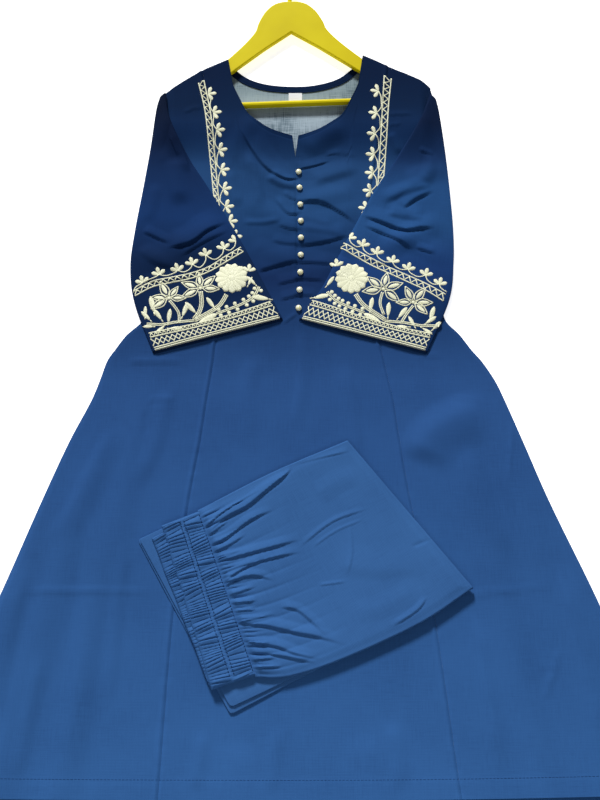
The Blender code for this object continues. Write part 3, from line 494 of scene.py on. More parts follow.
def solid_front(x, y):
    """Underside of the front's solids."""
    return FRONT_LIFT + lift(x, y) + ridge_height(FRONT_RIDGES, x, y)


def solid_cover(x, y):
    """Highest underside of the front's solids close around each place."""
    found = solid_front(x, y)
    for dx, dy in ((6, 0), (-6, 0), (0, 7), (0, -7)):
        found = np.maximum(found, solid_front(x + dx, y + dy))
    return found


def seam_pucker(x, y):
    """The dip and the small uneven puckers that each sewn seam of the front draws up."""
    total = np.zeros_like(x)
    for side in (-1, 1):
        away = x - seam_x(y, side)
        near = np.clip(1 - abs(away) / 16, 0, 1)
        beat = np.sin(y / 4.1 + 2.1 * np.sin(y / 31 + side)) + 0.6 * np.sin(y / 2.3 + y / 53)
        total += 0.28 * near**2 * beat * (0.55 + 0.45 * np.sin(y / 47 + side))
        total += 1.2 * smooth(1 - abs(away + 4.2) / 4.4)
        total -= 0.8 * np.clip(1 - abs(away) / 3.0, 0, 1)
    beat = np.sin(y / 3.1 + 1.7 * np.sin(y / 23))
    placket = (y < SLIT_BOTTOM) & (y > PLACKET_BOTTOM)
    total += np.where(placket, 0.3 * np.clip(1 - abs(x - 1) / 12, 0, 1) ** 2 * beat, 0)
    return total


def front_top(x, y):
    """Face of the front, kept clear of the back and the hanger under it."""
    height = FRONT_LIFT + SOLID_CLOTH + lift(x, y)
    height = height + 0.8 * ridge_height(FRONT_RIDGES, x, y)
    height = height + crease_height(BODICE_CREASES + SKIRT_CREASES, x, y) + seam_pucker(x, y)
    drape = 0.5 * np.sin(x / 37 + np.sin(y / 61)) * np.sin(y / 83 + 0.8 * np.sin(x / 49))
    eased = smooth((y - 620) / 60) * smooth((985 - y) / 60) * smooth((185 - abs(x)) / 50)
    height = height + LAYER_GAP + drape + BODICE_EASE * eased
    up_from_hem = y - hem_y(x)
    height = height + 0.45 * smooth((HEM_DEPTH + 1.5 - up_from_hem) / 2.5)
    height = height - 0.5 * np.clip(1 - abs(up_from_hem - HEM_DEPTH) / 2.2, 0, 1)
    lowest = BACK_TOP + CLOTH + 0.15 + lift(x, y)
    return lowest + np.logaddexp(0, (height - lowest) * 4) / 4


def make_mesh(name, points, faces, finish, weave=None):
    """A smooth mesh at its place in the set, from garment points in millimetres.

    weave holds each point's place on the cut cloth, in millimetres.
    """
    points = np.asarray(points, float)
    moved = (points + np.array([0.0, SET_Y, 0.0])) * MM
    mesh = bpy.data.meshes.new(name)
    mesh.from_pydata(moved.tolist(), [], [list(face) for face in faces])
    mesh.shade_smooth()
    if weave is not None:
        layer = mesh.uv_layers.new(name="weave")
        corners = np.empty(len(mesh.loops), dtype=np.int32)
        mesh.loops.foreach_get("vertex_index", corners)
        layer.data.foreach_set("uv", np.asarray(weave, float)[corners].ravel())
    mesh.materials.append(finish)
    obj = bpy.data.objects.new(name, mesh)
    bpy.context.scene.collection.objects.link(obj)
    return obj


def grid_faces(rows, columns, closed=False, first=0):
    """Quads between rows of points. A closed row joins its last point to its first."""
    k = np.arange(rows - 1)[:, None] * columns
    i = np.arange(columns if closed else columns - 1)[None, :]
    ahead = (i + 1) % columns
    quads = np.stack([k + i, k + ahead, k + columns + ahead, k + columns + i], axis=-1)
    return (quads.reshape(-1, 4) + first).tolist()


def select_only(obj):
    """Selects one object and makes it the active one."""
    bpy.ops.object.select_all(action="DESELECT")
    obj.select_set(True)
    bpy.context.view_layer.objects.active = obj


def apply_modifiers(obj):
    """Makes an object's modifiers part of its mesh."""
    select_only(obj)
    for modifier in list(obj.modifiers):
        bpy.ops.object.modifier_apply(modifier=modifier.name)


def give_thickness(obj, thickness, merge=0.03):
    """Merges a sheet's doubles and gives it its thickness, under its face."""
    bm = bmesh.new()
    bm.from_mesh(obj.data)
    bmesh.ops.remove_doubles(bm, verts=bm.verts, dist=merge * MM)
    bm.to_mesh(obj.data)
    bm.free()
    wall = obj.modifiers.new("thickness", "SOLIDIFY")
    wall.thickness = thickness * MM
    wall.offset = -1.0
    wall.use_even_offset = False
    apply_modifiers(obj)
    bpy.ops.object.shade_smooth_by_angle(angle=math.radians(60))


def linear(hex_colour):
    """An sRGB hex value as linear red, green, blue and alpha."""
    channels = [int(hex_colour[i:i + 2], 16) / 255 for i in (1, 3, 5)]
    return [c / 12.92 if c <= 0.04045 else ((c + 0.055) / 1.055) ** 2.4 for c in channels] + [1.0]


def add_node(tree, kind, inputs=(), **settings):
    """A node with its settings, and its inputs set to a value or linked to a socket."""
    node = tree.nodes.new(kind)
    for name, value in settings.items():
        setattr(node, name, value)
    for key, value in dict(inputs).items():
        if isinstance(value, bpy.types.NodeSocket):
            tree.links.new(value, node.inputs[key])
        else:
            node.inputs[key].default_value = value
    return node


def new_material(name):
    """An empty material with its output and main shader."""
    made = bpy.data.materials.new(name)
    made.use_nodes = True
    tree = made.node_tree
    tree.nodes.clear()
    shader = add_node(tree, "ShaderNodeBsdfPrincipled")
    add_node(tree, "ShaderNodeOutputMaterial", {"Surface": shader.outputs["BSDF"]})
    return made, tree, shader


def colour_steps(tree, factor, stops):
    """A ramp between sRGB hex colours at their places from 0 to 1."""
    ramp = add_node(tree, "ShaderNodeValToRGB", {"Fac": factor})
    ramp.color_ramp.elements[0].position = stops[0][0]
    ramp.color_ramp.elements[0].color = linear(stops[0][1])
    ramp.color_ramp.elements[1].position = stops[-1][0]
    ramp.color_ramp.elements[1].color = linear(stops[-1][1])
    for place, colour in stops[1:-1]:
        ramp.color_ramp.elements.new(place).color = linear(colour)
    return ramp.outputs["Color"]


def slub_cotton(name, dye_and_painted_shading, roughness=0.84, yarns_differ=1.0, thin_yarn="#d4d7dd"):
    """Plain-woven slub cotton, coloured by piece dyeing: matt, with uneven threads both ways.

    The list gives colours at heights up the garment in millimetres. Over one colour of cloth,
    the navy lists paint shade at the shoulders, waist and sleeve ends and light on the bust, the
    sleeves' middles and the skirt towards its hem; the chambray's list turns darker at its top.
    The more the yarns differ, the stronger their streaks. A thin yarn darkens the listed colours
    by its own colour.

    Threads stand 0.45 mm apart in the real cloth. They are drawn 1.8 mm apart, as fine as the
    render can show. A slub is a thick stretch of yarn, 1 mm across and 20 to 40 mm long.
    """
    threads = 1 / 1.8 / BANDS_OF_WAVE
    made, tree, shader = new_material(name)
    cloth = add_node(tree, "ShaderNodeUVMap", uv_map="weave").outputs["UV"]
    along_warp = add_node(tree, "ShaderNodeMapping",
                          {"Vector": cloth, "Scale": (1 / 1.3, 1 / 30, 1)}).outputs["Vector"]
    along_weft = add_node(tree, "ShaderNodeMapping",
                          {"Vector": cloth, "Scale": (1 / 26, 1 / 1.2, 1)}).outputs["Vector"]
    warp = add_node(tree, "ShaderNodeTexNoise", {"Vector": along_warp, "Scale": 1.0,
                                                 "Detail": 3.0, "Roughness": 0.6})
    weft = add_node(tree, "ShaderNodeTexNoise", {"Vector": along_weft, "Scale": 1.0,
                                                 "Detail": 3.0, "Roughness": 0.6})
    yarns = add_node(tree, "ShaderNodeMix", {"Factor": 0.5, "A": warp.outputs["Fac"],
                                             "B": weft.outputs["Fac"]}, data_type="FLOAT")
    patches = add_node(tree, "ShaderNodeTexNoise", {"Vector": cloth, "Scale": 1 / 110,
                                                    "Detail": 3.0})
    tone = add_node(tree, "ShaderNodeMix", {"Factor": 0.4, "A": yarns.outputs["Result"],
                                            "B": patches.outputs["Fac"]}, data_type="FLOAT")
    spread = 0.2 / yarns_differ
    thickness = colour_steps(tree, tone.outputs["Result"],
                             [(0.5 - spread, thin_yarn), (0.5, "#f0f1f3"),
                              (0.5 + spread, "#ffffff")])
    # Colours by height up the garment: in the navy copies these steps are painted shade and
    # painted light over one colour of cloth.
    place = add_node(tree, "ShaderNodeTexCoord").outputs["Object"]
    along = add_node(tree, "ShaderNodeSeparateXYZ", {"Vector": place}).outputs["Y"]
    height = add_node(tree, "ShaderNodeMapRange",
                      {"Value": along, "From Min": SET_Y * MM,
                       "From Max": (GARMENT_LENGTH + SET_Y) * MM})
    dye_and_painted_shading_colour = colour_steps(tree, height.outputs["Result"],
                        [(y / GARMENT_LENGTH, hue) for y, hue in dye_and_painted_shading])
    colour = add_node(tree, "ShaderNodeMix", {0: 1.0, 6: dye_and_painted_shading_colour, 7: thickness}, data_type="RGBA",
                      blend_type="MULTIPLY").outputs[2]
    tree.links.new(colour, shader.inputs["Base Color"])
    warp_threads = add_node(tree, "ShaderNodeTexWave", {"Vector": cloth, "Scale": threads,
                                                        "Distortion": 0.6, "Detail": 1.0},
                            bands_direction="X")
    weft_threads = add_node(tree, "ShaderNodeTexWave", {"Vector": cloth, "Scale": threads,
                                                        "Distortion": 0.6, "Detail": 1.0},
                            bands_direction="Y")
    weave = add_node(tree, "ShaderNodeMath", {0: warp_threads.outputs["Fac"],
                                              1: weft_threads.outputs["Fac"]}, operation="ADD")
    relief = add_node(tree, "ShaderNodeMix", {"Factor": 0.6, "A": weave.outputs["Value"],
                                              "B": yarns.outputs["Result"]}, data_type="FLOAT")
    worn = add_node(tree, "ShaderNodeMapRange", {"Value": yarns.outputs["Result"],
                                                 "From Min": 0.3, "From Max": 0.7,
                                                 "To Min": roughness - 0.08,
                                                 "To Max": roughness + 0.06})
    bump = add_node(tree, "ShaderNodeBump", {"Height": relief.outputs["Result"],
                                             "Strength": 0.24, "Distance": 0.0004})
    tree.links.new(worn.outputs["Result"], shader.inputs["Roughness"])
    tree.links.new(bump.outputs["Normal"], shader.inputs["Normal"])
    shader.inputs["Sheen Weight"].default_value = 0.02
    shader.inputs["Sheen Roughness"].default_value = 0.5
    shader.inputs["Sheen Tint"].default_value = linear("#5f86c8")
    shader.inputs["Specular IOR Level"].default_value = 0.04
    return made


def embroidery_thread():
    """Rayon embroidery thread in satin stitch: cream, with a soft gleam across its stitches.

    A stitch is one 0.4 mm thread. They are drawn 0.9 mm apart, so that they can be seen.
    """
    made, tree, shader = new_material("rayon_embroidery_thread")
    thread = add_node(tree, "ShaderNodeUVMap", uv_map="weave").outputs["UV"]
    slanted = add_node(tree, "ShaderNodeMapping", {"Vector": thread,
                                                   "Rotation": (0, 0, math.radians(24))})
    stitches = add_node(tree, "ShaderNodeTexWave", {"Vector": slanted.outputs["Vector"],
                                                    "Scale": 1 / 0.9 / BANDS_OF_WAVE,
                                                    "Distortion": 1.2, "Detail": 2.0},
                        bands_direction="X")
    uneven = add_node(tree, "ShaderNodeTexNoise", {"Vector": thread, "Scale": 1 / 6,
                                                   "Detail": 3.0})
    tone = add_node(tree, "ShaderNodeMix", {"Factor": 0.5, "A": stitches.outputs["Fac"],
                                            "B": uneven.outputs["Fac"]}, data_type="FLOAT")
    colour = colour_steps(tree, tone.outputs["Result"],
                          [(0.1, "#dfe0b4"), (0.45, "#f4f5d0"), (0.85, "#fdfde2")])
    bump = add_node(tree, "ShaderNodeBump", {"Height": stitches.outputs["Fac"],
                                             "Strength": 0.5, "Distance": 0.0003})
    gleam = add_node(tree, "ShaderNodeMapRange", {"Value": uneven.outputs["Fac"],
                                                  "To Min": 0.42, "To Max": 0.6})
    tree.links.new(colour, shader.inputs["Base Color"])
    tree.links.new(gleam.outputs["Result"], shader.inputs["Roughness"])
    tree.links.new(bump.outputs["Normal"], shader.inputs["Normal"])
    shader.inputs["Sheen Weight"].default_value = 0.25
    return made


def moulded_plastic():
    """Injection-moulded polypropylene, dyed yellow through: smooth, waxy, slightly uneven."""
    made, tree, shader = new_material("yellow_moulded_polypropylene")
    place = add_node(tree, "ShaderNodeTexCoord").outputs["Object"]
    clouds = add_node(tree, "ShaderNodeTexNoise", {"Vector": place, "Scale": 1 / 0.06,
                                                   "Detail": 2.0})
    colour = colour_steps(tree, clouds.outputs["Fac"],
                          [(0.3, "#dcc900"), (0.5, "#e2d002"), (0.75, "#e7d60a")])
    skin = add_node(tree, "ShaderNodeTexNoise", {"Vector": place, "Scale": 1 / 0.0024,
                                                 "Detail": 2.0})
    scuffs = add_node(tree, "ShaderNodeTexNoise", {"Vector": place, "Scale": 1 / 0.014,
                                                   "Detail": 4.0, "Roughness": 0.7})
    gloss = add_node(tree, "ShaderNodeMapRange", {"Value": scuffs.outputs["Fac"],
                                                  "To Min": 0.38, "To Max": 0.6})
    bump = add_node(tree, "ShaderNodeBump", {"Height": skin.outputs["Fac"],
                                             "Strength": 0.12, "Distance": 0.0002})
    tree.links.new(colour, shader.inputs["Base Color"])
    tree.links.new(gloss.outputs["Result"], shader.inputs["Roughness"])
    tree.links.new(bump.outputs["Normal"], shader.inputs["Normal"])
    shader.inputs["IOR"].default_value = 1.49
    shader.inputs["Specular IOR Level"].default_value = 0.08
    return made


def pearl_plastic():
    """Cast polyester with pearl pigment: cream, with a soft swirl under a clear gloss."""
    made, tree, shader = new_material("cream_pearl_polyester")
    place = add_node(tree, "ShaderNodeTexCoord").outputs["Object"]
    swirl = add_node(tree, "ShaderNodeTexNoise", {"Vector": place, "Scale": 1 / 0.005,
                                                  "Detail": 3.0, "Distortion": 1.5})
    colour = colour_steps(tree, swirl.outputs["Fac"],
                          [(0.3, "#efe7b6"), (0.5, "#fbf4cc"), (0.7, "#fffadc")])
    gloss = add_node(tree, "ShaderNodeMapRange", {"Value": swirl.outputs["Fac"],
                                                  "To Min": 0.16, "To Max": 0.3})
    bump = add_node(tree, "ShaderNodeBump", {"Height": swirl.outputs["Fac"],
                                             "Strength": 0.06, "Distance": 0.0002})
    tree.links.new(colour, shader.inputs["Base Color"])
    tree.links.new(gloss.outputs["Result"], shader.inputs["Roughness"])
    tree.links.new(bump.outputs["Normal"], shader.inputs["Normal"])
    shader.inputs["Subsurface Weight"].default_value = 0.95
    shader.inputs["Subsurface Radius"].default_value = (1.0, 0.95, 0.8)
    shader.inputs["Subsurface Scale"].default_value = 0.006
    shader.inputs["Coat Weight"].default_value = 0.5
    shader.inputs["Coat Roughness"].default_value = 0.1
    return made


def woven_label():
    """Woven polyester satin ribbon: white, close threads along its length, a soft sheen."""
    made, tree, shader = new_material("white_polyester_satin")
    cloth = add_node(tree, "ShaderNodeUVMap", uv_map="weave").outputs["UV"]
    threads = add_node(tree, "ShaderNodeTexWave", {"Vector": cloth,
                                                   "Scale": 1 / 1.0 / BANDS_OF_WAVE,
                                                   "Distortion": 0.8, "Detail": 1.0},
                       bands_direction="Y")
    colour = colour_steps(tree, threads.outputs["Fac"], [(0.0, "#d5d8dc"), (1.0, "#f2f3f5")])
    bump = add_node(tree, "ShaderNodeBump", {"Height": threads.outputs["Fac"],
                                             "Strength": 0.2, "Distance": 0.0002})
    gloss = add_node(tree, "ShaderNodeMapRange", {"Value": threads.outputs["Fac"],
                                                  "To Min": 0.38, "To Max": 0.5})
    tree.links.new(colour, shader.inputs["Base Color"])
    tree.links.new(gloss.outputs["Result"], shader.inputs["Roughness"])
    tree.links.new(bump.outputs["Normal"], shader.inputs["Normal"])
    return made


def panel_grid(edge_a, edge_b, top_of, shares, bottom_of, row_step):
    """x and y of a panel's points, rows from hem to top, between two edges given by y.

    Rows are level up to the yoke line. Above it each column closes on its own top.
    """
    def x_at(y, column):
        a, b = edge_a(y), edge_b(y)
        return a + (b - a) * shares[column]

    fine_step = 0.7 * row_step
    bodice_rows = int((YOKE_LINE - WAIST_LINE) / fine_step) + 1
    yoke_rows = int(190 / fine_step)
    level = np.concatenate([np.arange(0, WAIST_LINE, 1.25 * row_step),
                            np.linspace(WAIST_LINE, YOKE_LINE, bodice_rows)])
    columns_x, columns_y = [], []
    for c in range(len(shares)):
        top = YOKE_LINE + 100.0
        for _ in range(24):
            top = 0.5 * top + 0.5 * float(top_of(x_at(np.array([top]), c))[0])
        above = YOKE_LINE + (top - YOKE_LINE) * np.arange(1, yoke_rows + 1) / yoke_rows
        y = np.concatenate([level, above])
        x = x_at(y, c)
        y = y + bottom_of(x) * smooth(1 - y / 60)
        columns_x.append(x)
        columns_y.append(y)
    return np.stack(columns_x, axis=1), np.stack(columns_y, axis=1)


def close_edges(x, y, z):
    """Lets the front come down to the back along the sewn side edges."""
    inside = np.minimum(x - side_x(y, -1), side_x(y, 1) - x)
    sewn = smooth(1 - inside / 7) * (y < 1000)
    return z * (1 - sewn) + (BACK_TOP + CLOTH + 0.12) * sewn


def shoulder_rows(x, y, z):
    """Rows that turn the front down over the hanger's arm, after its top row."""
    steps = 5
    rows = []
    outside = abs(x[-1] - NECK_X) >= NECK_HALF - 0.5
    for k in range(1, steps + 1):
        turn = 0.5 * math.pi * k / steps
        out = SHOULDER_WRAP * math.sin(turn)
        down = 1 - math.cos(turn)
        new_x = np.where(outside, x[-1] + np.copysign(0.45 * out, x[-1]), x[-1])
        new_y = np.where(outside, y[-1] + out, y[-1] + 0.35 * math.sin(2 * turn) - 0.6 * down)
        low = np.where(outside, FRONT_LIFT + 0.3, z[-1] - 0.9)
        rows.append((new_x, new_y, z[-1] + (low - z[-1]) * down))
    return [np.concatenate([grid, [row[i] for row in rows]]) for i, grid in enumerate((x, y, z))]


def front_panel(name, node, grids, finish):
    """A panel of the front, from one or two grids of x and y that meet on the centre line."""
    points, faces = np.empty((0, 3)), []
    for x, y in grids:
        z = close_edges(x, y, front_top(x, y))
        below_neck = neck_top(x) - y
        at_neck = abs(x - NECK_X) < NECK_HALF
        z = z + 0.4 * smooth(1 - below_neck / 4) * at_neck
        z = z - 0.35 * np.clip(1 - abs(below_neck - 6) / 1.6, 0, 1) * at_neck
        full_x, full_y, full_z = shoulder_rows(x, y, z)
        faces += grid_faces(*full_x.shape, first=len(points))
        stacked = np.stack([full_x, full_y, full_z], axis=-1).reshape(-1, 3)
        points = np.concatenate([points, stacked])
    panel = make_mesh(name, points, faces, finish, points[:, :2])
    give_thickness(panel, CLOTH)
    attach(panel, "root")
    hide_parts(node)
    return panel


def make_fronts(finish):
    """The centre panel, in two halves that meet below the neck slit, and the side panels."""
    centre_grids = []
    for side in (-1, 1):
        def centre_edge(y):
            opened = np.maximum(0.0, (y - SLIT_BOTTOM) / (NECK[0].y - SLIT_BOTTOM))
            laid_at = NECK_X * smooth((y - YOKE_LINE) / (SLIT_BOTTOM - YOKE_LINE))
            return laid_at + side * SLIT_HALF * opened

        def outer_edge(y):
            return seam_x(y, side, SEAM_GAP / 2)

        def top(x):
            return np.maximum(NECK[0].y, neck_top(x))

        shares = np.concatenate([np.linspace(0, 0.92, 48), np.linspace(0.92, 1, 9)[1:]])
        x, y = panel_grid(centre_edge, outer_edge, top, shares, hem_y, 3.6)
        if side < 0:
            x, y = x[:, ::-1], y[:, ::-1]
        centre_grids.append((x, y))
    panels = [front_panel("kurti_front_centre", "front_centre", centre_grids, finish)]
    for side, name in ((-1, "left"), (1, "right")):
        def inner_edge(y):
            return seam_x(y, side, -SEAM_GAP / 2)

        def side_edge(y):
            return side_x(y, side)

        def shoulder(x):
            return shoulder_y(x) - SHOULDER_WRAP

        shares = np.concatenate([np.linspace(0, 0.06, 9)[:-1], np.linspace(0.06, 1, 58)])
        x, y = panel_grid(inner_edge, side_edge, shoulder, shares, hem_y, 3.8)
        if side < 0:
            x, y = x[:, ::-1], y[:, ::-1]
        panels.append(front_panel("kurti_front_" + name, "front_side_" + name, [(x, y)], finish))
    return panels


def make_back(face_finish, inside_finish):
    """The back, whose undyed-looking reverse shows in the neck and whose face is underneath."""
    def left_edge(y):
        return side_x(y, -1)

    def right_edge(y):
        return side_x(y, 1)

    def drop(x):
        return hem_y(x) - BACK_HEM_DROP

    x, y = panel_grid(left_edge, right_edge, back_top, np.linspace(0, 1, 121), drop, 6.4)
    waves = 0.16 * np.sin(x / 21 + np.sin(y / 40)) * np.sin(y / 33)
    z = BACK_TOP - 0.2 + waves
    points = np.stack([x, y, z], axis=-1).reshape(-1, 3)
    back = make_mesh("kurti_back", points, grid_faces(*x.shape), inside_finish, points[:, :2])
    back.data.materials.append(face_finish)
    give_thickness(back, 0.8)
    normals = np.empty(len(back.data.polygons) * 3)
    back.data.polygons.foreach_get("normal", normals)
    centres = np.empty(len(back.data.polygons) * 3)
    back.data.polygons.foreach_get("center", centres)
    under = normals.reshape(-1, 3)[:, 2] < 0.3
    middles = centres.reshape(-1, 3) / MM
    turned_hem = middles[:, 1] - SET_Y - hem_y(middles[:, 0]) < HEM_DEPTH - BACK_HEM_DROP
    back.data.polygons.foreach_set("material_index", (under | turned_hem).astype(np.int32))
    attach(back, "root")
    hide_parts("back")


def strip_along(line, offsets, heights):
    """Rings of points along a line of (x, y), each at offsets across it and at heights."""
    line = np.asarray(line, float)
    run = np.gradient(line, axis=0)
    run /= np.maximum(np.hypot(run[:, 0], run[:, 1]), 1e-9)[:, None]
    across = np.stack([-run[:, 1], run[:, 0]], axis=1)
    flat = line[:, None, :] + across[:, None, :] * np.asarray(offsets)[None, :, None]
    level = np.broadcast_to(np.asarray(heights, float), flat.shape[:2])[..., None]
    return np.concatenate([flat, level], axis=-1)


def make_neck_trim(navy, satin):
    """The facing that finishes the back neck, and the plain label sewn under it."""
    count = 97
    share = np.linspace(0.03, 0.97, count)
    knots = np.linspace(0, 1, len(BACK_NECK))
    line = np.stack([through(knots, [p.x for p in BACK_NECK], share),
                     through(knots, [p.y for p in BACK_NECK], share)], axis=1)
    floor = BACK_TOP + 0.3
    offsets = -np.array([0.3, 0.6, 1.6, 3.0, 6.0, 9.0, 9.8, 10.6, 11.6, 12.0, 12.0, 0.3])
    heights = floor + np.array([0.1, 0.9, 1.15, 1.0, 0.85, 0.85, 0.5, 0.85, 0.75, 0.5, 0.0, 0.0])
    rings = strip_along(line, offsets, heights)
    rings[:, 1:9, 2] += 0.1 * np.sin(np.arange(count) * 1.3)[:, None]
    rows, columns = rings.shape[:2]
    faces = grid_faces(rows, columns, closed=True)
    faces.append(list(range(columns)))
    faces.append(list(range((rows - 1) * columns, rows * columns))[::-1])
    points = rings.reshape(-1, 3)
    facing = make_mesh("neck_facing", points, faces, navy, points[:, :2])
    outward(facing)
    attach(facing, "root")
    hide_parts("back_neck_facing")

    middle = through(knots, [p.y for p in BACK_NECK], 0.5)
    top = float(middle) - FACING_WIDTH - 0.3
    columns, rows = 22, 24
    x, y = np.meshgrid(np.linspace(NECK_X - 10.5, NECK_X + 10.5, columns),
                       np.linspace(top - 22, top, rows))
    z = floor + 0.62 + 0.12 * np.sin(x / 4) * smooth((top - y) / 20)
    points = np.stack([x, y, z], axis=-1).reshape(-1, 3)
    label = make_mesh("blank_label", points, grid_faces(rows, columns), satin, points[:, :2])
    give_thickness(label, 0.4)
    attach(label, "root")
    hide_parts("neck_label")


def outward(obj):
    """Turns a closed mesh's faces outwards."""
    bm = bmesh.new()
    bm.from_mesh(obj.data)
    bmesh.ops.remove_doubles(bm, verts=bm.verts, dist=0.01 * MM)
    bmesh.ops.recalc_face_normals(bm, faces=bm.faces)
    bm.to_mesh(obj.data)
    bm.free()


def sleeve_edges(table, share):
    """The outer and the inner fold of a sleeve at shares of its length."""
    knots = np.linspace(0, 1, len(table))
    columns = [through(knots, [getattr(row, c) for row in table], share)
               for c in ("outer_x", "outer_y", "inner_x", "inner_y")]
    return np.stack(columns[:2], axis=-1), np.stack(columns[2:], axis=-1)


def make_sleeve(name, finish):
    """A flattened tube folded in over the front, open at its cuff."""
    table = SLEEVES[name]
    rows, flat_points, fold_points = 186, 66, 5
    share = np.linspace(0, 1, rows)
    outer, inner = sleeve_edges(table, share)
    run = inner - outer
    run /= np.hypot(run[:, 0], run[:, 1])[:, None]
    half = SLEEVE_OPEN / 2
    start, end = outer + run * half, inner - run * half
    t = np.linspace(0, 1, flat_points)
    flat = start[:, None] + (end - start)[:, None] * t[None, :, None]
    turns = np.pi * np.arange(1, fold_points + 1) / (fold_points + 1)
    inner_fold = end[:, None] + run[:, None] * (half * np.sin(turns))[None, :, None]
    outer_fold = start[:, None] - run[:, None] * (half * np.sin(turns))[None, :, None]
    plan = np.concatenate([flat, inner_fold, flat[:, ::-1], outer_fold], axis=1)
    over = np.concatenate([np.zeros(flat_points), half - half * np.cos(turns),
                           np.full(flat_points, SLEEVE_OPEN), half + half * np.cos(turns)])
    x, y = plan[..., 0], plan[..., 1]
    level = SOLID_CLOTH + SLEEVE_GAP + 0.6
    z = solid_cover(x, y) + level + over[None, :]
    lower = slice(0, flat_points)
    upper = slice(flat_points + fold_points, 2 * flat_points + fold_points)
    puff = ridge_height(SLEEVE_RIDGES, x[:, upper], y[:, upper]) * np.sin(np.pi * t) ** 0.4
    creased = crease_height(SLEEVE_CREASES, x[:, upper], y[:, upper])
    rolled = 0.3 * np.sin(x[:, upper] / 17 + 1) * np.sin(y[:, upper] / 21)
    soft_ends = np.sin(np.pi * t) ** 0.3
    z[:, upper] += 0.8 * puff + (creased + rolled + SLEEVE_EASE) * soft_ends
    hem = 1 - smooth((1 - share) * SLEEVE_LENGTH / 9)
    z[:, upper] += (0.35 * hem)[:, None] * soft_ends
    # The upper layer stays clear of the lower one, before and after that is lifted off the front
    z[:, upper] = np.maximum(z[:, upper], z[:, lower][:, ::-1] + CLOTH + 0.35)
    z[:, lower] = np.maximum(z[:, lower], front_top(x[:, lower], y[:, lower]) + 0.55)
    z[:, upper] = np.maximum(z[:, upper], z[:, lower][:, ::-1] + CLOTH + 0.3)
    cuff = np.stack([run[-1][1], -run[-1][0]])
    cuff = cuff if cuff[1] < 0 else -cuff
    peek = np.concatenate([np.ones(flat_points), np.cos(turns / 2) ** 2, np.zeros(flat_points),
                           np.sin(turns / 2) ** 2])
    reach = CUFF_PEEK * smooth((share - 0.93) / 0.07)
    x += reach[:, None] * peek[None, :] * cuff[0]
    y += reach[:, None] * peek[None, :] * cuff[1]
    points = np.stack([x, y, z], axis=-1)
    columns = x.shape[1]
    across = np.cumsum(np.hypot(*np.diff(plan[rows // 2], axis=0, append=plan[rows // 2][:1]).T))
    weave = np.stack([np.broadcast_to(across, x.shape),
                      np.broadcast_to((share * SLEEVE_LENGTH)[:, None], x.shape)], axis=-1)
    sleeve = make_mesh("kurti_sleeve_" + name, points.reshape(-1, 3),
                       grid_faces(rows, columns, closed=True), finish, weave.reshape(-1, 2))
    outward(sleeve)
    give_thickness(sleeve, CLOTH, merge=0.01)
    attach(sleeve, "root")
    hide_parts("sleeve_" + name)
    return sleeve


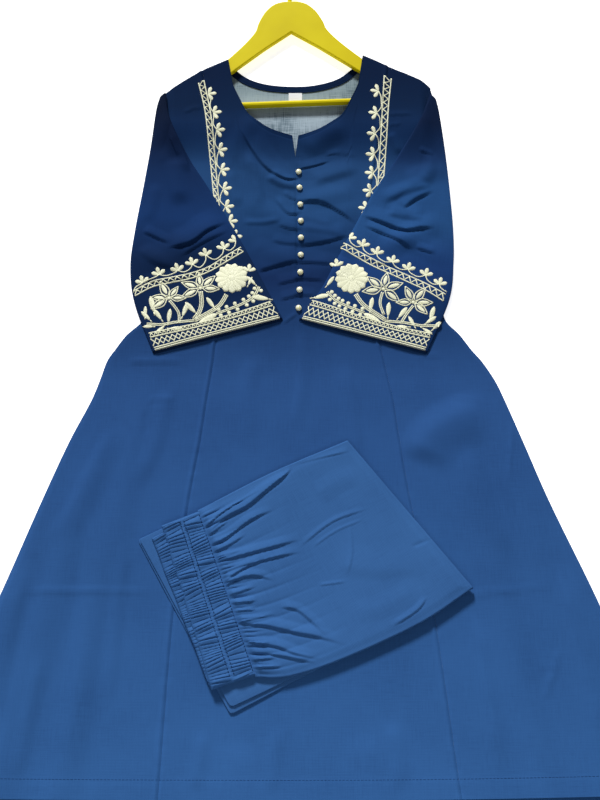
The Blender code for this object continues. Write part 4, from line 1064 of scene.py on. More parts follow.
# Embroidery is laid out flat in millimetres, then set on the cloth below it
class Stitches:
    """Points, faces and thread directions of raised stitching, as (a, b, height)."""

    def __init__(self):
        self.points, self.faces, self.weave = [], [], []

    def add(self, rings, length, width):
        """A closed run of rings, its ends filled."""
        rings = np.asarray(rings, float)
        rows, columns = rings.shape[:2]
        first = len(self.points)
        self.points.extend(rings.reshape(-1, 3).tolist())
        u, v = np.meshgrid(np.linspace(0, length, rows), np.linspace(0, width, columns),
                           indexing="ij")
        self.weave.extend(np.stack([u, v], axis=-1).reshape(-1, 2).tolist())
        self.faces += grid_faces(rows, columns, closed=True, first=first)
        self.faces.append(list(range(first, first + columns))[::-1])
        last = first + (rows - 1) * columns
        self.faces.append(list(range(last, last + columns)))

    def line(self, points, width=2.3, height=0.7, step=2.6):
        """A raised cord of satin stitch through the given points."""
        spine = smooth_line(points)
        lengths = distances(spine)
        count = max(3, int(lengths[-1] / step) + 1)
        spine = placed(spine, lengths, np.linspace(0, lengths[-1], count))
        offsets = width * np.array([-0.5, -0.3, 0.0, 0.3, 0.5])
        heights = height * np.array([-0.15, 0.8, 1.0, 0.8, -0.15])
        self.add(strip_along(spine, offsets, heights), lengths[-1], width)

    def petal(self, root, angle, length, width, height, fullest=0.6, tip=0.12):
        """A filled petal or leaf from its root, with its widest place along it."""
        share = np.linspace(0, 1, 8)
        swell = np.where(share < fullest, np.sin(0.5 * np.pi * share / fullest) ** 0.8,
                         np.maximum(0, np.cos(0.5 * np.pi * (share - fullest) / (1 - fullest)))
                         ** 0.7)
        swell = tip + (1 - tip) * swell
        run = np.array([math.cos(angle), math.sin(angle)])
        side = np.array([-run[1], run[0]])
        spread = np.array([-0.5, -0.34, 0.0, 0.34, 0.5])
        crown = np.array([-0.12, 0.8, 1.0, 0.8, -0.12])
        spots = (np.array(root) + run * (share * length)[:, None])[:, None]
        flat = spots + side * (width * swell[:, None] * spread)[..., None]
        raised = height * crown * (0.45 + 0.55 * swell[:, None])
        self.add(np.concatenate([flat, raised[..., None]], axis=-1), length, width)

    def dome(self, centre, radius, height):
        """A round knot of stitches."""
        turns = 2 * np.pi * np.arange(10) / 10
        rings = []
        for reach, level in ((1.0, -0.1), (0.8, 0.6), (0.35, 1.0)):
            rings.append([(centre[0] + radius * reach * math.cos(t),
                           centre[1] + radius * reach * math.sin(t), height * level)
                          for t in turns])
        self.add(rings, radius, 2 * radius)

    def outline_petal(self, root, angle, length, width):
        """A pointed petal: an outline cord with a filled leaf inside it."""
        run = np.array([math.cos(angle), math.sin(angle)])
        side = np.array([-run[1], run[0]])
        for hand in (-1, 1):
            spots = [root, root + run * 0.3 * length + side * hand * 0.42 * width,
                     root + run * 0.62 * length + side * hand * 0.38 * width,
                     root + run * 1.04 * length]
            self.line(spots, 1.9, 0.6)
        self.petal(root + run * 0.14 * length, angle, 0.7 * length, 0.5 * width, 0.5, 0.5, 0.05)


# How the petals of a vine's flower turn from its middle line, in radians. The cut one lies at
# the sleeve's edge and shows two of its petals.
FLOWER_TURNS = (0.0, -1.0, 1.0)
CUT_FLOWER_TURNS = (-0.2, -1.1)
STEM_SPREAD = 2.4


def vine_flower(stitches, root, up, turns=FLOWER_TURNS):
    """A small flower of the vine: plump petals that open from one root."""
    for turn in turns:
        stitches.petal(root, up + turn, 12.6 - 0.9 * abs(turn), 6.4, 0.5, fullest=0.7)


def zigzag_band(stitches, line_a, line_b, pitch, width=1.9):
    """Two edge lines with a zigzag between them."""
    a, b = smooth_line(line_a, 16), smooth_line(line_b, 16)
    places = np.arange(len(a))
    stitches.line(line_a)
    stitches.line(line_b)
    count = max(2, 2 * round(float(distances(a)[-1]) / pitch))
    spots = []
    for k, at in enumerate(np.linspace(0, len(a) - 1, count + 1)):
        near, far = (a, b) if k % 2 else (b, a)
        spot = placed(near, places, at)
        spots.append(spot + (placed(far, places, at) - spot) * 0.1)
    for before, after in zip(spots, spots[1:]):
        stitches.line([before, after], width, 0.6)


def looped_band(stitches, top, bottom, pitch):
    """Two rows of arcs that cross each other, as in an interlaced border."""
    a, b = smooth_line(top, 16), smooth_line(bottom, 16)
    places = np.arange(len(a))
    samples = 8
    count = round(float(distances(a)[-1]) / pitch)
    for phase in (0.0, 0.5):
        spots = []
        for k in range(count * samples + 1):
            turn = 2 * math.pi * (k / samples + phase)
            at = (k / samples - 0.09 * math.sin(2 * turn)) / count * (len(a) - 1)
            high, low = placed(a, places, at), placed(b, places, at)
            spots.append(low + (high - low) * (0.5 + 0.42 * math.cos(turn)))
        stitches.line(spots, 1.8, 0.6, step=1.7)


def round_flower(stitches, centre, radius):
    """A full round flower of radial petals that meet under a low knotted middle."""
    petals = 13
    for k in range(petals):
        angle = 2 * math.pi * k / petals + 0.1
        root = (centre[0] + 0.14 * radius * math.cos(angle),
                centre[1] + 0.14 * radius * math.sin(angle))
        stitches.petal(root, angle, 0.88 * radius, 0.5 * radius, 0.5, fullest=0.76)
    stitches.dome(centre, 0.27 * radius, 0.6)


def lotus(stitches, centre, tips):
    """An open lotus: an outlined petal out to each tip, about a small knotted heart."""
    for tip in tips:
        run = np.array(tip, float) - centre
        length = float(np.hypot(*run))
        root = np.array(centre) + 0.12 * run
        stitches.outline_petal(root, math.atan2(run[1], run[0]), length, 0.52 * length)
    stitches.dome(centre, 3.0, 0.9)


def stem(stitches, points, strands=2):
    """Parallel stem cords that follow one line."""
    line = smooth_line(points)
    for k in range(strands):
        offset = (k - (strands - 1) / 2) * STEM_SPREAD
        moved = strip_along(line, [offset], [0.0])[:, 0, :2]
        stitches.line(moved[::4], 1.9, 0.6)


def beaded_branch(stitches, points, beads):
    """A double cord with round leaves along both of its sides."""
    radius = 3.1
    stem(stitches, points)
    line = smooth_line(points, 16)
    for k in range(beads):
        at = int((k + 0.5) / beads * (len(line) - 1))
        for side in (-1, 1):
            spot = strip_along(line, [side * (radius + 1.9)], [0.0])[at, 0, :2]
            stitches.dome(spot, radius, 0.6)


SleeveMotifs = namedtuple("SleeveMotifs", ["band_top", "band_bottom", "border", "flowers",
                                           "rounds", "lotuses", "stems", "base", "leaves",
                                           "branch", "inner"])
# Places on each cuff in millimetres: out from its inner corner along it, and up from it. The
# bands and the border are heights alone, spaced evenly across the sleeve. A leaf is its root,
# its angle in degrees and its length.
MOTIFS = {
    "left": SleeveMotifs(
        band_top=[126, 117, 107, 104, 105, 106, 99],
        band_bottom=[118, 109, 100, 96, 97, 98, 91],
        border=[29, 26, 24, 23.5, 24, 26, 28],
        flowers=[(33, 140), (53, 133), (81, 129), (104, 120), (127, 116), (155, 117), (181, 111)],
        rounds=[(54, 80, 24)],
        lotuses=[((102, 76), [(99, 97), (80, 88), (79, 68), (128, 70), (123, 91)]),
                 ((150, 73), [(155, 99), (135, 86), (129, 67), (172, 81), (175, 65)])],
        stems=[[(150, 69), (142, 48), (145, 31)], [(103, 71), (106, 53), (113, 40), (123, 31)],
               [(68, 56), (81, 43), (98, 36), (123, 29)]],
        base=[(190, 43), (170, 36), (150, 34), (123, 29)],
        leaves=[(176, 58, 92, 24), (168, 43, 70, 19), (160, 36, 112, 20), (138, 40, 125, 21),
                (118, 40, 62, 21), (90, 40, 70, 19), (10, 33, 24, 24), (118, 24, 168, 28),
                (166, 33, -28, 16), (160, 27, 196, 18), (184, 47, 62, 18), (190, 54, 105, 16),
                (23, 60, 62, 17), (34, 62, 128, 14), (182, 36, 18, 14)],
        branch=[(90, 31), (68, 33), (45, 37), (29, 44), (19, 56)],
        inner=(27, 84)),
    "right": SleeveMotifs(
        band_top=[134, 126, 118, 112, 107, 101, 93],
        band_bottom=[125, 117, 109, 103, 97, 91, 82],
        border=[32, 30, 27, 25.5, 24.5, 25, 27],
        flowers=[(36, 146), (58, 140), (81, 133), (107, 125), (132, 120), (159, 118), (182, 109)],
        rounds=[(56, 81, 24)],
        lotuses=[((105, 76), [(104, 100), (81, 87), (80, 66), (127, 91), (129, 65)]),
                 ((152, 68), [(137, 86), (162, 91), (176, 74), (131, 62), (173, 57)])],
        stems=[[(105, 71), (106, 53), (116, 37)], [(68, 58), (81, 46), (98, 38), (120, 30)],
               [(153, 63), (147, 47), (143, 33)]],
        base=[(192, 41), (170, 35), (146, 33), (119, 28)],
        leaves=[(95, 38, 95, 20), (122, 36, 100, 21), (137, 38, 68, 20), (182, 47, 88, 21),
                (177, 40, 52, 18), (163, 31, 132, 17), (189, 34, 62, 17), (114, 25, 167, 26),
                (174, 32, -18, 16), (154, 28, 194, 17), (10, 36, 27, 22), (24, 60, 70, 17)],
        branch=[(88, 33), (62, 36), (42, 41), (27, 51)],
        inner=(30, 94)),
}


def cuff_frame(name):
    """The cuff's inner corner, the way out along it and the way up the sleeve."""
    last = SLEEVES[name][-1]
    corner = np.array([last.inner_x, last.inner_y], float)
    out = np.array([last.outer_x, last.outer_y], float) - corner
    length = float(np.hypot(*out))
    out /= length
    up = np.array([-out[1], out[0]])
    up = up if up[1] > 0 else -up
    return corner, out, up, length


def cloth_trees(*pieces):
    """The surfaces of finished pieces, for setting things on them."""
    trees = []
    for piece in pieces:
        bm = bmesh.new()
        bm.from_mesh(piece.data)
        trees.append(BVHTree.FromBMesh(bm))
        bm.free()
    return trees


def on_cloth(name, stitches, clothes, finish, corner=(0.0, 0.0), out=(1.0, 0.0), up=(0.0, 1.0)):
    """Flat stitching set on the cloth under it, as a piece.

    The stitching's own origin lies at the corner, and its two directions run out and up.
    """
    flat = np.asarray(stitches.points)
    plan = np.asarray(corner) + flat[:, :1] * np.asarray(out) + flat[:, 1:2] * np.asarray(up)
    levels = np.empty(len(plan))
    for k, (x, y) in enumerate(plan):
        above = Vector((x, y + SET_Y, RAY_START)) * MM
        hits = [tree.ray_cast(above, Vector((0, 0, -1)))[0] for tree in clothes]
        found = [hit.z for hit in hits if hit is not None]
        levels[k] = max(found) / MM if found else np.nan
    gaps = np.isnan(levels)
    levels[gaps] = np.interp(np.flatnonzero(gaps), np.flatnonzero(~gaps), levels[~gaps])
    points = np.column_stack([plan, levels + flat[:, 2]])
    piece = make_mesh(name, points, stitches.faces, finish, stitches.weave)
    outward(piece)
    return piece


def add_embroidery(name, stitches, clothes, finish, *directions):
    """Flat embroidery set on the cloth under it, as its own piece under the root."""
    piece = on_cloth(name, stitches, clothes, finish, *directions)
    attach(piece, "root")


def embroider_sleeve(name, sleeve, finish):
    """Vine, zigzag band, field of lotuses and leaves, and interlaced border of one sleeve."""
    corner, out, up, length = cuff_frame(name)
    motifs = MOTIFS[name]
    stitches = Stitches()

    def inner_edge(b):
        return 0.197 * b + 3.0

    def outer_edge(b):
        return length + 0.092 * b - 3.0

    def level(heights):
        """A line across the sleeve at heights given from its inner to its outer edge."""
        count = len(heights)
        spots = []
        for k, b in enumerate(heights):
            start, end = inner_edge(b), outer_edge(b)
            spots.append((start + (end - start) * k / (count - 1), b))
        return spots

    band_top = level(motifs.band_top)
    zigzag_band(stitches, band_top, level(motifs.band_bottom), 10.5)
    path = smooth_line(band_top, 16)
    ends = [(a, b + 3) for a, b in motifs.flowers] + [(length + 6, 102)]
    for (a, b), ahead in zip(ends, ends[1:]):
        dip = 0.45 * a + 0.55 * ahead[0]
        rest = float(np.interp(dip, path[:, 0], path[:, 1])) + 4.6
        foot, next_foot = b - 5, ahead[1] - 5
        stitches.line([(a, foot), (0.72 * a + 0.28 * dip, 0.4 * foot + 0.6 * rest), (dip, rest),
                       (0.4 * dip + 0.6 * ahead[0], 0.66 * rest + 0.34 * next_foot),
                       (ahead[0], next_foot)], 2.0, 0.6)
    for k, (a, b) in enumerate(motifs.flowers):
        turns = FLOWER_TURNS if k else CUT_FLOWER_TURNS
        vine_flower(stitches, (a, b - 3), math.radians(90), turns)
    for a, b, radius in motifs.rounds:
        round_flower(stitches, (a, b), radius)
    for centre, tips in motifs.lotuses:
        lotus(stitches, centre, tips)
    for points in motifs.stems:
        stem(stitches, points, 3 if len(points) > 3 else 2)
    stem(stitches, motifs.base)
    for a, b, degrees, size in motifs.leaves:
        angle = math.radians(degrees)
        stitches.petal((a, b), angle, 1.08 * size, 0.36 * size, 0.55)
        stitches.line([(a, b), (a - 0.22 * size * math.cos(angle),
                                b - 0.22 * size * math.sin(angle))], 1.9, 0.6)
    beaded_branch(stitches, motifs.branch, 7)
    vine_flower(stitches, motifs.inner, math.radians(110))
    border, inset = motifs.border, [0.76 * b for b in motifs.border]
    zigzag_band(stitches, level(border), level(inset), 6.0, 1.4)
    looped_band(stitches, level([b - 1.2 for b in inset]), level([5.0] * 7), 15.0)
    stitches.line(level([4.0] * 7))
    stitches.line(level([0.8] * 7))
    add_embroidery(f"sleeve_embroidery_{name}", stitches, cloth_trees(sleeve), finish,
                   corner, out, up)


ShoulderStrip = namedtuple("ShoulderStrip", "outer inner flowers")
SHOULDER_STRIPS = {
    "left": ShoulderStrip(
        outer=[(-154, 1053), (-142, 998), (-134, 930), (-126, 860), (-120, 822)],
        inner=[(-146, 1058), (-133, 992), (-126, 927), (-118, 850), (-113, 812)],
        flowers=[(-135, 1033), (-126, 999), (-120, 968), (-116, 936), (-112, 902), (-108, 869),
                 (-104, 839), (-98, 814), (-91, 788)]),
    "right": ShoulderStrip(
        outer=[(147, 1061), (141, 1008), (136, 940), (131, 885), (129, 862)],
        inner=[(136, 1066), (132, 1008), (127, 940), (122, 872), (120, 850)],
        flowers=[(123, 1038), (119, 998), (116, 962), (114, 929), (112, 897), (108, 866),
                 (101, 836)]),
}


def embroider_shoulder(name, fronts, finish):
    """A zigzag ladder down the shoulder with a vine of small flowers on its neck side."""
    strip = SHOULDER_STRIPS[name]
    toward_neck = 1 if name == "left" else -1
    stitches = Stitches()
    zigzag_band(stitches, strip.outer, strip.inner, 10.5)
    edge = smooth_line(strip.inner, 16)
    edge = edge[np.argsort(edge[:, 1])]
    spots = [np.array(f, float) for f in strip.flowers]
    to_root = np.array([toward_neck * 3.4, 0.0])
    for spot in spots:
        for turn, length in ((1.15, 13.2), (0.0, 13.0), (-1.15, 13.2)):
            angle = turn if toward_neck > 0 else math.pi - turn
            stitches.petal(spot - to_root, angle + 0.12 * toward_neck, length, 6.6, 0.5,
                           fullest=0.7)
    for spot, ahead in zip(spots, spots[1:]):
        middle = 0.5 * (spot + ahead)
        beside = float(np.interp(middle[1], edge[:, 1], edge[:, 0])) + toward_neck * 2.4
        bowed = beside + toward_neck * 0.6
        stitches.line([spot - to_root, (bowed, spot[1] - 9), (beside, middle[1]),
                       (bowed, ahead[1] + 9), ahead - to_root], 2.0, 0.6)
    add_embroidery(f"shoulder_embroidery_{name}", stitches, cloth_trees(*fronts), finish)


def on_pile(u, v):
    """Places in the palazzo's own frame, in the garment's."""
    cos, sin = math.cos(PILE_TURN), math.sin(PILE_TURN)
    return PILE_CORNER[0] + u * cos + v * sin, PILE_CORNER[1] + u * sin - v * cos


def on_strip(strip, across, down):
    """Places on a band, from shares across it and down it, in the palazzo's own frame."""
    places = []
    for i in (0, 1):
        outer = strip.outer_top[i] + (strip.outer_bottom[i] - strip.outer_top[i]) * down
        inner = strip.inner_top[i] + (strip.inner_bottom[i] - strip.inner_top[i]) * down
        places.append(outer + (inner - outer) * across)
    return places


def make_leg(finish):
    """The palazzo's top leg, gathered into the waistband and turned down at its fold.

    Its rows run from the waistband out to the fold, one below the other across the leg.
    """
    down_steps, along_steps = 190, 160
    leg_width, leg_run = 240.0, 250.0
    down = np.linspace(0, 1, down_steps)[:, None]
    share = np.linspace(0, 1, along_steps)[None, :]
    ends = []
    for edge in (LEG_TOP, LEG_BOTTOM):
        runs = np.cumsum([0] + [math.dist(a, b) for a, b in zip(edge, edge[1:])])
        ends.append([through(runs / runs[-1], [p[i] for p in edge], share) for i in (0, 1)])
    u, v = ((1 - down) * ends[0][i] + down * ends[1][i] for i in (0, 1))
    u = u - 2.6 * (1 - smooth(share / 0.03))
    fade = smooth(1 - share / 0.55)
    near_band = smooth(1 - share / 0.14)
    wander = 0.35 * np.sin(5.1 * down + 0.6) + 0.22 * np.sin(11.3 * down)
    spreading = 13 * down + wander + 0.3 * share * np.sin(9 * down)
    gathers = 1 - (1 - abs(np.sin(np.pi * spreading))) ** 2
    fine = 1 - (1 - abs(np.sin(np.pi * (29 * down + 0.8 * np.sin(17 * down))))) ** 2.2
    height = 1.4 + 1.3 * fade * gathers + 2.4 * near_band * fine
    height = height + crease_height(LEG_CREASES, u, v, left=-1)
    height = height + 0.5 * np.sin(u / 26) * np.sin(v / 31 + 1)
    lowest = 0.1
    height = lowest + np.logaddexp(0, (height - lowest) * 3) / 3
    edge = np.minimum(np.minimum(down, 1 - down) * leg_width, (1 - share) * (leg_run + 10))
    height = height * (0.25 + 0.75 * smooth(edge / 11))
    height = height * (0.12 + 0.88 * smooth(share * leg_run / 7))
    z = FRONT_BAND_FLOOR + CLOTH + height
    fold = []
    fold_steps, rim_steps = 8, 5
    for k in range(1, fold_steps + 1):
        turn = 0.5 * math.pi * k / fold_steps
        tucked = 1.6 if k == fold_steps else 0
        fold.append((u[:, -1:] + 3.2 * math.sin(turn), v[:, -1:],
                     z[:, -1:] - 3.4 * (1 - math.cos(turn)) - tucked))
    u, v, z = (np.concatenate([grid] + [column[i] for column in fold], axis=1)
               for i, grid in enumerate((u, v, z)))
    first_rim, last_rim = [], []
    for k in range(1, rim_steps + 1):
        turn = 0.5 * math.pi * k / rim_steps
        out, down_by = 2.4 * math.sin(turn), 2.2 * (1 - math.cos(turn))
        first_rim.insert(0, (u[:1], v[:1] - out, z[:1] - down_by))
        last_rim.append((u[-1:], v[-1:] + out, z[-1:] - down_by))
    u, v, z = (np.concatenate([row[i] for row in first_rim] + [grid]
                              + [row[i] for row in last_rim])
               for i, grid in enumerate((u, v, z)))
    x, y = on_pile(u, v)
    points = np.stack([x, y, z], axis=-1).reshape(-1, 3)
    weave = np.stack([v, u], axis=-1).reshape(-1, 2)
    faces = [face[::-1] for face in grid_faces(*x.shape)]
    leg = make_mesh("palazzo_top_leg", points, faces, finish, weave)
    face_up(leg)
    give_thickness(leg, CLOTH)
    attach(leg, "root")
    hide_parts("palazzo_leg")


def face_up(obj):
    """Turns an open sheet's faces up."""
    bm = bmesh.new()
    bm.from_mesh(obj.data)
    bmesh.ops.remove_doubles(bm, verts=bm.verts, dist=0.02 * MM)
    bmesh.ops.recalc_face_normals(bm, faces=bm.faces)
    if sum(face.normal.z * face.calc_area() for face in bm.faces) < 0:
        bmesh.ops.reverse_faces(bm, faces=bm.faces)
    bm.to_mesh(obj.data)
    bm.free()


def make_band(name, node, strip, floor, channels, finish):
    """An elastic casing, its cloth drawn into uneven ribs between rows of stitching."""
    samples, across_steps = 360, 18 * channels
    band_width, band_length = 56.0, 225.0
    down = np.linspace(0, 1, samples)[None, :]
    across = np.linspace(0, 1, across_steps + 1)[:, None]
    channel = np.clip(across * channels, 0, channels - 1e-6)
    within = channel - np.floor(channel)
    crown = np.sin(np.pi * within) ** 0.55
    number = np.floor(channel)
    slant = 0.016 * (within - 0.5) * np.sin(31 * down + 2 * number)
    wander = 0.5 * np.sin(23 * down + 1.7 * number) + 0.3 * np.sin(47 * down + number)
    phase = BAND_RIBS * (down + slant) + wander
    rib = 1 - (1 - abs(np.sin(np.pi * phase))) ** 3.6
    thin = 0.7 + 0.3 * np.sin(61 * down + 3 * number + 1.5 * np.sin(19 * down))
    height = 0.2 + 4.3 * crown * rib * thin + 0.25 * crown
    stitched = np.minimum(abs(within - 0.09), abs(within - 0.91))
    height = height - 0.5 * np.clip(1 - stitched / 0.035, 0, 1) * (0.3 + 0.7 * rib)
    edge = np.minimum(np.minimum(across, 1 - across) * band_width,
                      np.minimum(down, 1 - down) * band_length)
    rim = smooth(edge / 3.0)
    height = height * (0.2 + 0.8 * rim)
    z = floor + BAND_THICKNESS - 0.9 + height * 0.95
    z = floor + (z - floor) * (0.35 + 0.65 * rim)
    sway = 0.9 * np.sin(19 * down) * (1 - within) * (across < 0.5)
    u, v = on_strip(strip, across, down)
    u = u + 0.5 * sway
    x, y = on_pile(u, v)
    top = np.stack([x, y, z], axis=-1)
    tucked_in = 1.5 * smooth(1 - (1 - across) * band_width / 4) * (channels > 1)
    low = np.stack([x, y, floor + np.broadcast_to(tucked_in, z.shape)], axis=-1)
    rows, columns = x.shape
    count = rows * columns
    faces = grid_faces(rows, columns) + [f[::-1] for f in grid_faces(rows, columns, first=count)]
    border = [(0, k) for k in range(columns)] + [(k, columns - 1) for k in range(1, rows)]
    border += [(rows - 1, k) for k in range(columns - 2, -1, -1)]
    border += [(k, 0) for k in range(rows - 2, 0, -1)]
    loop = [r * columns + c for r, c in border]
    for a, b in zip(loop, loop[1:] + loop[:1]):
        faces.append([a, b, b + count, a + count])
    points = np.concatenate([top.reshape(-1, 3), low.reshape(-1, 3)])
    plane = np.stack([v, u], axis=-1).reshape(-1, 2)
    band = make_mesh(name, points, faces, finish, np.concatenate([plane, plane]))
    outward(band)
    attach(band, "root")
    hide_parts(node)
    return band


def rounded_outline(corners, count):
    """Points spaced evenly round an outline whose corners are arcs."""
    corners = [np.array(c, float) for c in corners]
    dense = []
    for k, corner in enumerate(corners):
        here, before, after = corner[:2], corners[k - 1][:2], corners[(k + 1) % len(corners)][:2]
        start = here + (before - here) / np.hypot(*(before - here)) * corner[2]
        end = here + (after - here) / np.hypot(*(after - here)) * corner[2]
        for t in np.linspace(0, 1, 7):
            dense.append(start * (1 - t) ** 2 + here * 2 * t * (1 - t) + end * t**2)
    dense = np.array(dense + dense[:1])
    lengths = distances(dense)
    return placed(dense, lengths, np.linspace(0, lengths[-1], count, endpoint=False))


def make_folded_legs(finish):
    """The folded layers under the palazzo's top leg, each a soft slab with rolled edges."""
    points, weave, faces = [], [], []
    around, edge_steps = 220, 8
    for number, layer in enumerate(FOLDED_LAYERS):
        outline = rounded_outline(layer.corners, around)
        middle = outline.mean(axis=0)
        turn = np.linspace(0, 2 * np.pi, around, endpoint=False)
        wobble = 0.5 * np.sin(7 * turn + 2 * number) + 0.35 * np.sin(17 * turn + number)
        half = 0.5 * (layer.top - layer.floor)
        rings = []
        for reach in (0.1, 0.45, 0.8):
            rings.append((middle + (outline - middle) * reach, np.full(around, layer.floor)))
        inward = middle - outline
        inward /= np.hypot(inward[:, 0], inward[:, 1])[:, None]
        for k in range(edge_steps + 1):
            angle = -0.5 * math.pi + math.pi * k / edge_steps
            inset = 1.9 - 1.6 * math.cos(angle) + 0.25 * wobble
            level = layer.floor + half + half * math.sin(angle)
            rings.append((outline + inward * inset[:, None], np.full(around, level)))
        for reach in (0.93, 0.86, 0.7, 0.45, 0.1):
            spots = middle + (outline - middle) * reach
            soft = 0.3 * np.sin(spots[:, 0] / 15 + number) * np.sin(spots[:, 1] / 19)
            rings.append((spots, layer.top - 0.15 + soft * (reach < 0.9)))
        first = len(points)
        for spots, level in rings:
            x, y = on_pile(spots[:, 0], spots[:, 1])
            points.extend(zip(x, y, level))
            weave.extend(zip(spots[:, 1], spots[:, 0] + level))
        faces += grid_faces(len(rings), around, closed=True, first=first)
        faces.append(list(range(first, first + around))[::-1])
        last = first + (len(rings) - 1) * around
        faces.append(list(range(last, last + around)))
    legs = make_mesh("palazzo_folded_layers", points, faces, finish, weave)
    outward(legs)
    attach(legs, "root")
    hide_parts("palazzo_folded_legs")


def make_buttons(finish):
    """Domed pearl buttons: one is made from a flattened ball, the others are its copies."""
    crown = 0.625 * BUTTON_HEIGHT
    bpy.ops.object.select_all(action="DESELECT")
    radius = 0.5 * BUTTON_DIAMETER * MM
    bpy.ops.mesh.primitive_uv_sphere_add(segments=28, ring_count=18, radius=radius)
    first = bpy.context.object
    bpy.ops.object.mode_set(mode="EDIT")
    bpy.ops.mesh.select_all(action="SELECT")
    bpy.ops.transform.resize(value=(1, 1, 2 * crown / BUTTON_DIAMETER))
    cut = (crown - BUTTON_HEIGHT) * MM
    bpy.ops.mesh.bisect(plane_co=(0, 0, cut), plane_no=(0, 0, 1), clear_inner=True, use_fill=True)
    bpy.ops.mesh.select_all(action="DESELECT")
    bpy.ops.object.mode_set(mode="OBJECT")
    for face in first.data.polygons:
        face.select = face.normal.z < -0.9 and face.center.z < cut + 0.2 * MM
    bpy.ops.object.mode_set(mode="EDIT")
    bpy.ops.mesh.inset(thickness=0.8 * MM, depth=0.0)
    bpy.ops.mesh.inset(thickness=0.6 * MM, depth=-0.5 * MM)
    bpy.ops.object.mode_set(mode="OBJECT")
    soft = first.modifiers.new("rim", "BEVEL")
    soft.width = 0.4 * MM
    soft.segments = 2
    soft.limit_method = "ANGLE"
    soft.angle_limit = math.radians(50)
    apply_modifiers(first)
    first.data.shade_smooth()
    for k in range(BUTTON_COUNT):
        x = BUTTON_X + BUTTON_BOW * math.sin(math.pi * k / (BUTTON_COUNT - 1))
        y = BUTTON_TOP_Y - BUTTON_PITCH * k
        reach = BUTTON_DIAMETER * 0.5
        xs = np.array([x, x - reach, x + reach, x, x])
        ys = np.array([y, y, y, y - reach, y + reach])
        floor = float(np.sort(front_top(xs, ys))[1:].mean()) - 0.2
        button = bpy.data.objects.new(f"pearl_button_{k + 1}", first.data.copy())
        bpy.context.scene.collection.objects.link(button)
        button.data.materials.clear()
        button.data.materials.append(finish)
        for vertex in button.data.vertices:
            vertex.co += Vector((x, y + SET_Y, floor + BUTTON_HEIGHT - crown)) * MM
        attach(button, "root")
        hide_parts(f"button_{k + 1}")
    bpy.data.objects.remove(first)


def stitch_row(name, line, pitch, length, width, clothes, finish):
    """A row of short thread stitches that lies on the cloth."""
    line = np.asarray(line, float)
    lengths = distances(line)
    stitches = Stitches()
    for at in np.arange(2.0, lengths[-1] - 2.0, pitch):
        start, end = placed(line, lengths, [at - length / 2, at + length / 2])
        spine = np.array([start, 0.5 * (start + end), end])
        rings = strip_along(spine, width * np.array([-0.5, 0.0, 0.5]), np.array([-0.1, 0.3, -0.1]))
        stitches.add(rings, length, width)
    piece = on_cloth(name, stitches, clothes, finish)
    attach(piece, "root")


def stitch_waistband(band, finish):
    """The rows of stitches that close the front waistband's two channels."""
    downs = np.linspace(0.02, 0.98, 60)
    for k, across in enumerate((0.45, 0.55, 0.95)):
        row = [on_pile(*on_strip(FRONT_BAND, across, down)) for down in downs]
        stitch_row(f"waistband_stitches_{k + 1}", row, 4.6, 2.7, 1.6, cloth_trees(band), finish)


def stitch_hem(fronts, finish):
    """The row of stitches that holds the front's turned-up hem."""
    row = [(x, float(hem_y(x)) + HEM_DEPTH) for x in range(-472, 473, 8)]
    stitch_row("hem_stitches", row, 4.6, 3.1, 0.6, cloth_trees(*fronts), finish)


def add_area_light(name, place, target, size, power, spread):
    """A soft box that faces a target, its size in metres, its power in watts."""
    light = bpy.data.lights.new(name, "AREA")
    light.spread = math.radians(spread)
    light.shape = "RECTANGLE"
    light.size, light.size_y = size
    light.energy = power
    lamp = bpy.data.objects.new(name, light)
    lamp.location = place
    lamp.rotation_euler = (Vector(target) - Vector(place)).to_track_quat("-Z", "Y").to_euler()
    bpy.context.scene.collection.objects.link(lamp)


def make_studio():
    """Pale floor, soft low light from beyond the hanger, fill over the hem, and the camera."""
    bpy.ops.object.select_all(action="DESELECT")
    bpy.ops.mesh.primitive_plane_add(size=8, location=(0, 0, -0.0006))
    floor = bpy.context.object
    floor.name = "floor"
    paper, tree, shader = new_material("matt_paper_floor")
    place = add_node(tree, "ShaderNodeTexCoord").outputs["Object"]
    fibre = add_node(tree, "ShaderNodeTexNoise", {"Vector": place, "Scale": 1 / 0.02,
                                                  "Detail": 3.0})
    shade = colour_steps(tree, fibre.outputs["Fac"], [(0.3, "#f2f2f2"), (0.7, "#f8f8f8")])
    tree.links.new(shade, shader.inputs["Base Color"])
    shader.inputs["Roughness"].default_value = 0.9
    shader.inputs["Emission Color"].default_value = linear("#ffffff")
    shader.inputs["Emission Strength"].default_value = 0.75
    floor.data.materials.append(paper)

    world = bpy.data.worlds.new("studio")
    bpy.context.scene.world = world
    world.use_nodes = True
    world.node_tree.nodes["Background"].inputs["Color"].default_value = linear("#f4f7ff")
    world.node_tree.nodes["Background"].inputs["Strength"].default_value = 0.15
    add_area_light("softbox_over_hem", (0.0, -1.0, 1.05), (0.0, -0.42, 0.0), (1.0, 0.4), 1.2, 90)
    window = bpy.data.lights.new("window", "SUN")
    window.energy = 4.3
    window.angle = math.radians(11)
    lamp = bpy.data.objects.new("window", window)
    lamp.rotation_euler = Vector((0.24, -1.0, -0.62)).to_track_quat("-Z", "Y").to_euler()
    bpy.context.scene.collection.objects.link(lamp)
    bpy.context.scene.view_settings.view_transform = "Standard"

    camera = bpy.data.objects.new("camera", bpy.data.cameras.new("camera"))
    camera.location = (0.0042, 0.0004 + SET_Y * MM, 1.460)
    camera.rotation_euler = (math.radians(20), 0, 0)
    camera.data.lens = 49.5
    camera.data.sensor_width = 36
    camera.data.sensor_fit = "AUTO"
    bpy.context.scene.collection.objects.link(camera)
    bpy.context.scene.camera = camera


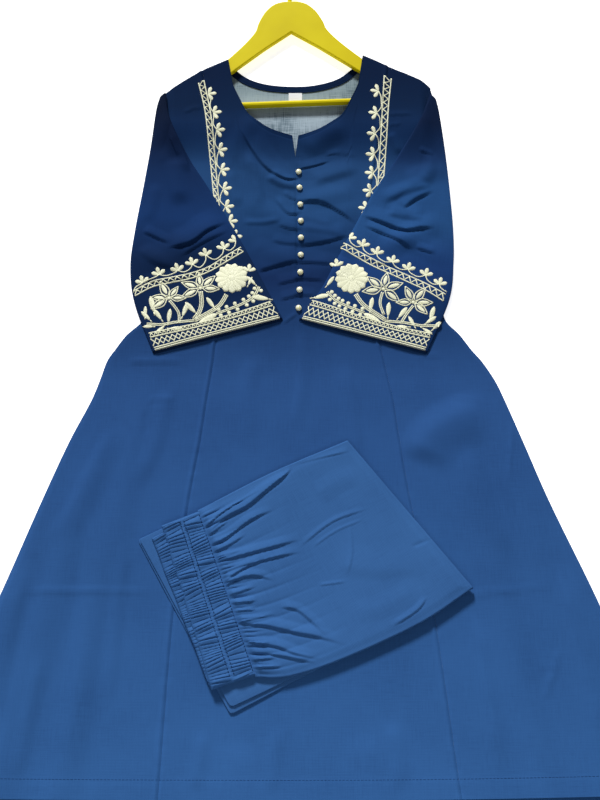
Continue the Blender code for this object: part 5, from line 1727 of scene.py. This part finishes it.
def main():
    make_studio()
    # One navy cloth: these steps paint shade at the waist and shoulders and light on the bust and
    # on the skirt towards its hem.
    navy = slub_cotton("navy_slub_cotton",
                       [(0, "#325e96"), (300, "#2f588f"), (560, "#2d548c"), (650, "#214273"),
                        (720, "#162f5b"), (790, "#1d406f"), (840, "#264e80"), (900, "#254b7b"),
                        (960, "#163460"), (1010, "#0f284b"), (1070, "#0c2142")])
    # The sleeves are the fronts' navy cloth: each copy paints its own shade at the shoulder and
    # cuff ends and light in the middle, more light on the right sleeve than the left.
    left_sleeve_painted_navy = slub_cotton("navy_slub_cotton_painted_shading_left_sleeve",
                            [(640, "#132b52"), (750, "#10274b"), (820, "#193a6d"),
                             (900, "#15305b"), (950, "#0e2041"), (1010, "#091730")])
    right_sleeve_painted_navy = slub_cotton("navy_slub_cotton_painted_shading_right_sleeve",
                             [(640, "#173460"), (740, "#1f4178"), (800, "#275186"),
                              (870, "#265085"), (920, "#1a3764"), (980, "#0e2142")])
    # The chambray's colours turn darker towards its top.
    chambray = slub_cotton("chambray_reverse_of_cotton",
                           [(0, "#aebfc9"), (1020, "#aebfc9"), (1045, "#92a4aa")],
                           roughness=0.9, yarns_differ=2.2, thin_yarn="#8f9ba3")
    blue = slub_cotton("blue_slub_cotton", [(0, "#38639a"), (1100, "#38639a")])
    thread = embroidery_thread()
    make_back(navy, chambray)
    make_neck_trim(navy, woven_label())
    fronts = make_fronts(navy)
    for name, sleeve_navy in (("left", left_sleeve_painted_navy), ("right", right_sleeve_painted_navy)):
        sleeve = make_sleeve(name, sleeve_navy)
        embroider_sleeve(name, sleeve, thread)
        embroider_shoulder(name, fronts, thread)
    make_buttons(pearl_plastic())
    make_folded_legs(blue)
    make_band("back_waistband", "palazzo_waistband_back", BACK_BAND, BACK_BAND_FLOOR, 1, blue)
    front_band = make_band("front_waistband", "palazzo_waistband_front", FRONT_BAND,
                           FRONT_BAND_FLOOR, 2, blue)
    stitch_waistband(front_band, left_sleeve_painted_navy)
    make_leg(blue)
    plastic = moulded_plastic()
    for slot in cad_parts["hanger"].material_slots:
        slot.material = plastic
    stitch_hem(fronts, right_sleeve_painted_navy)


main()
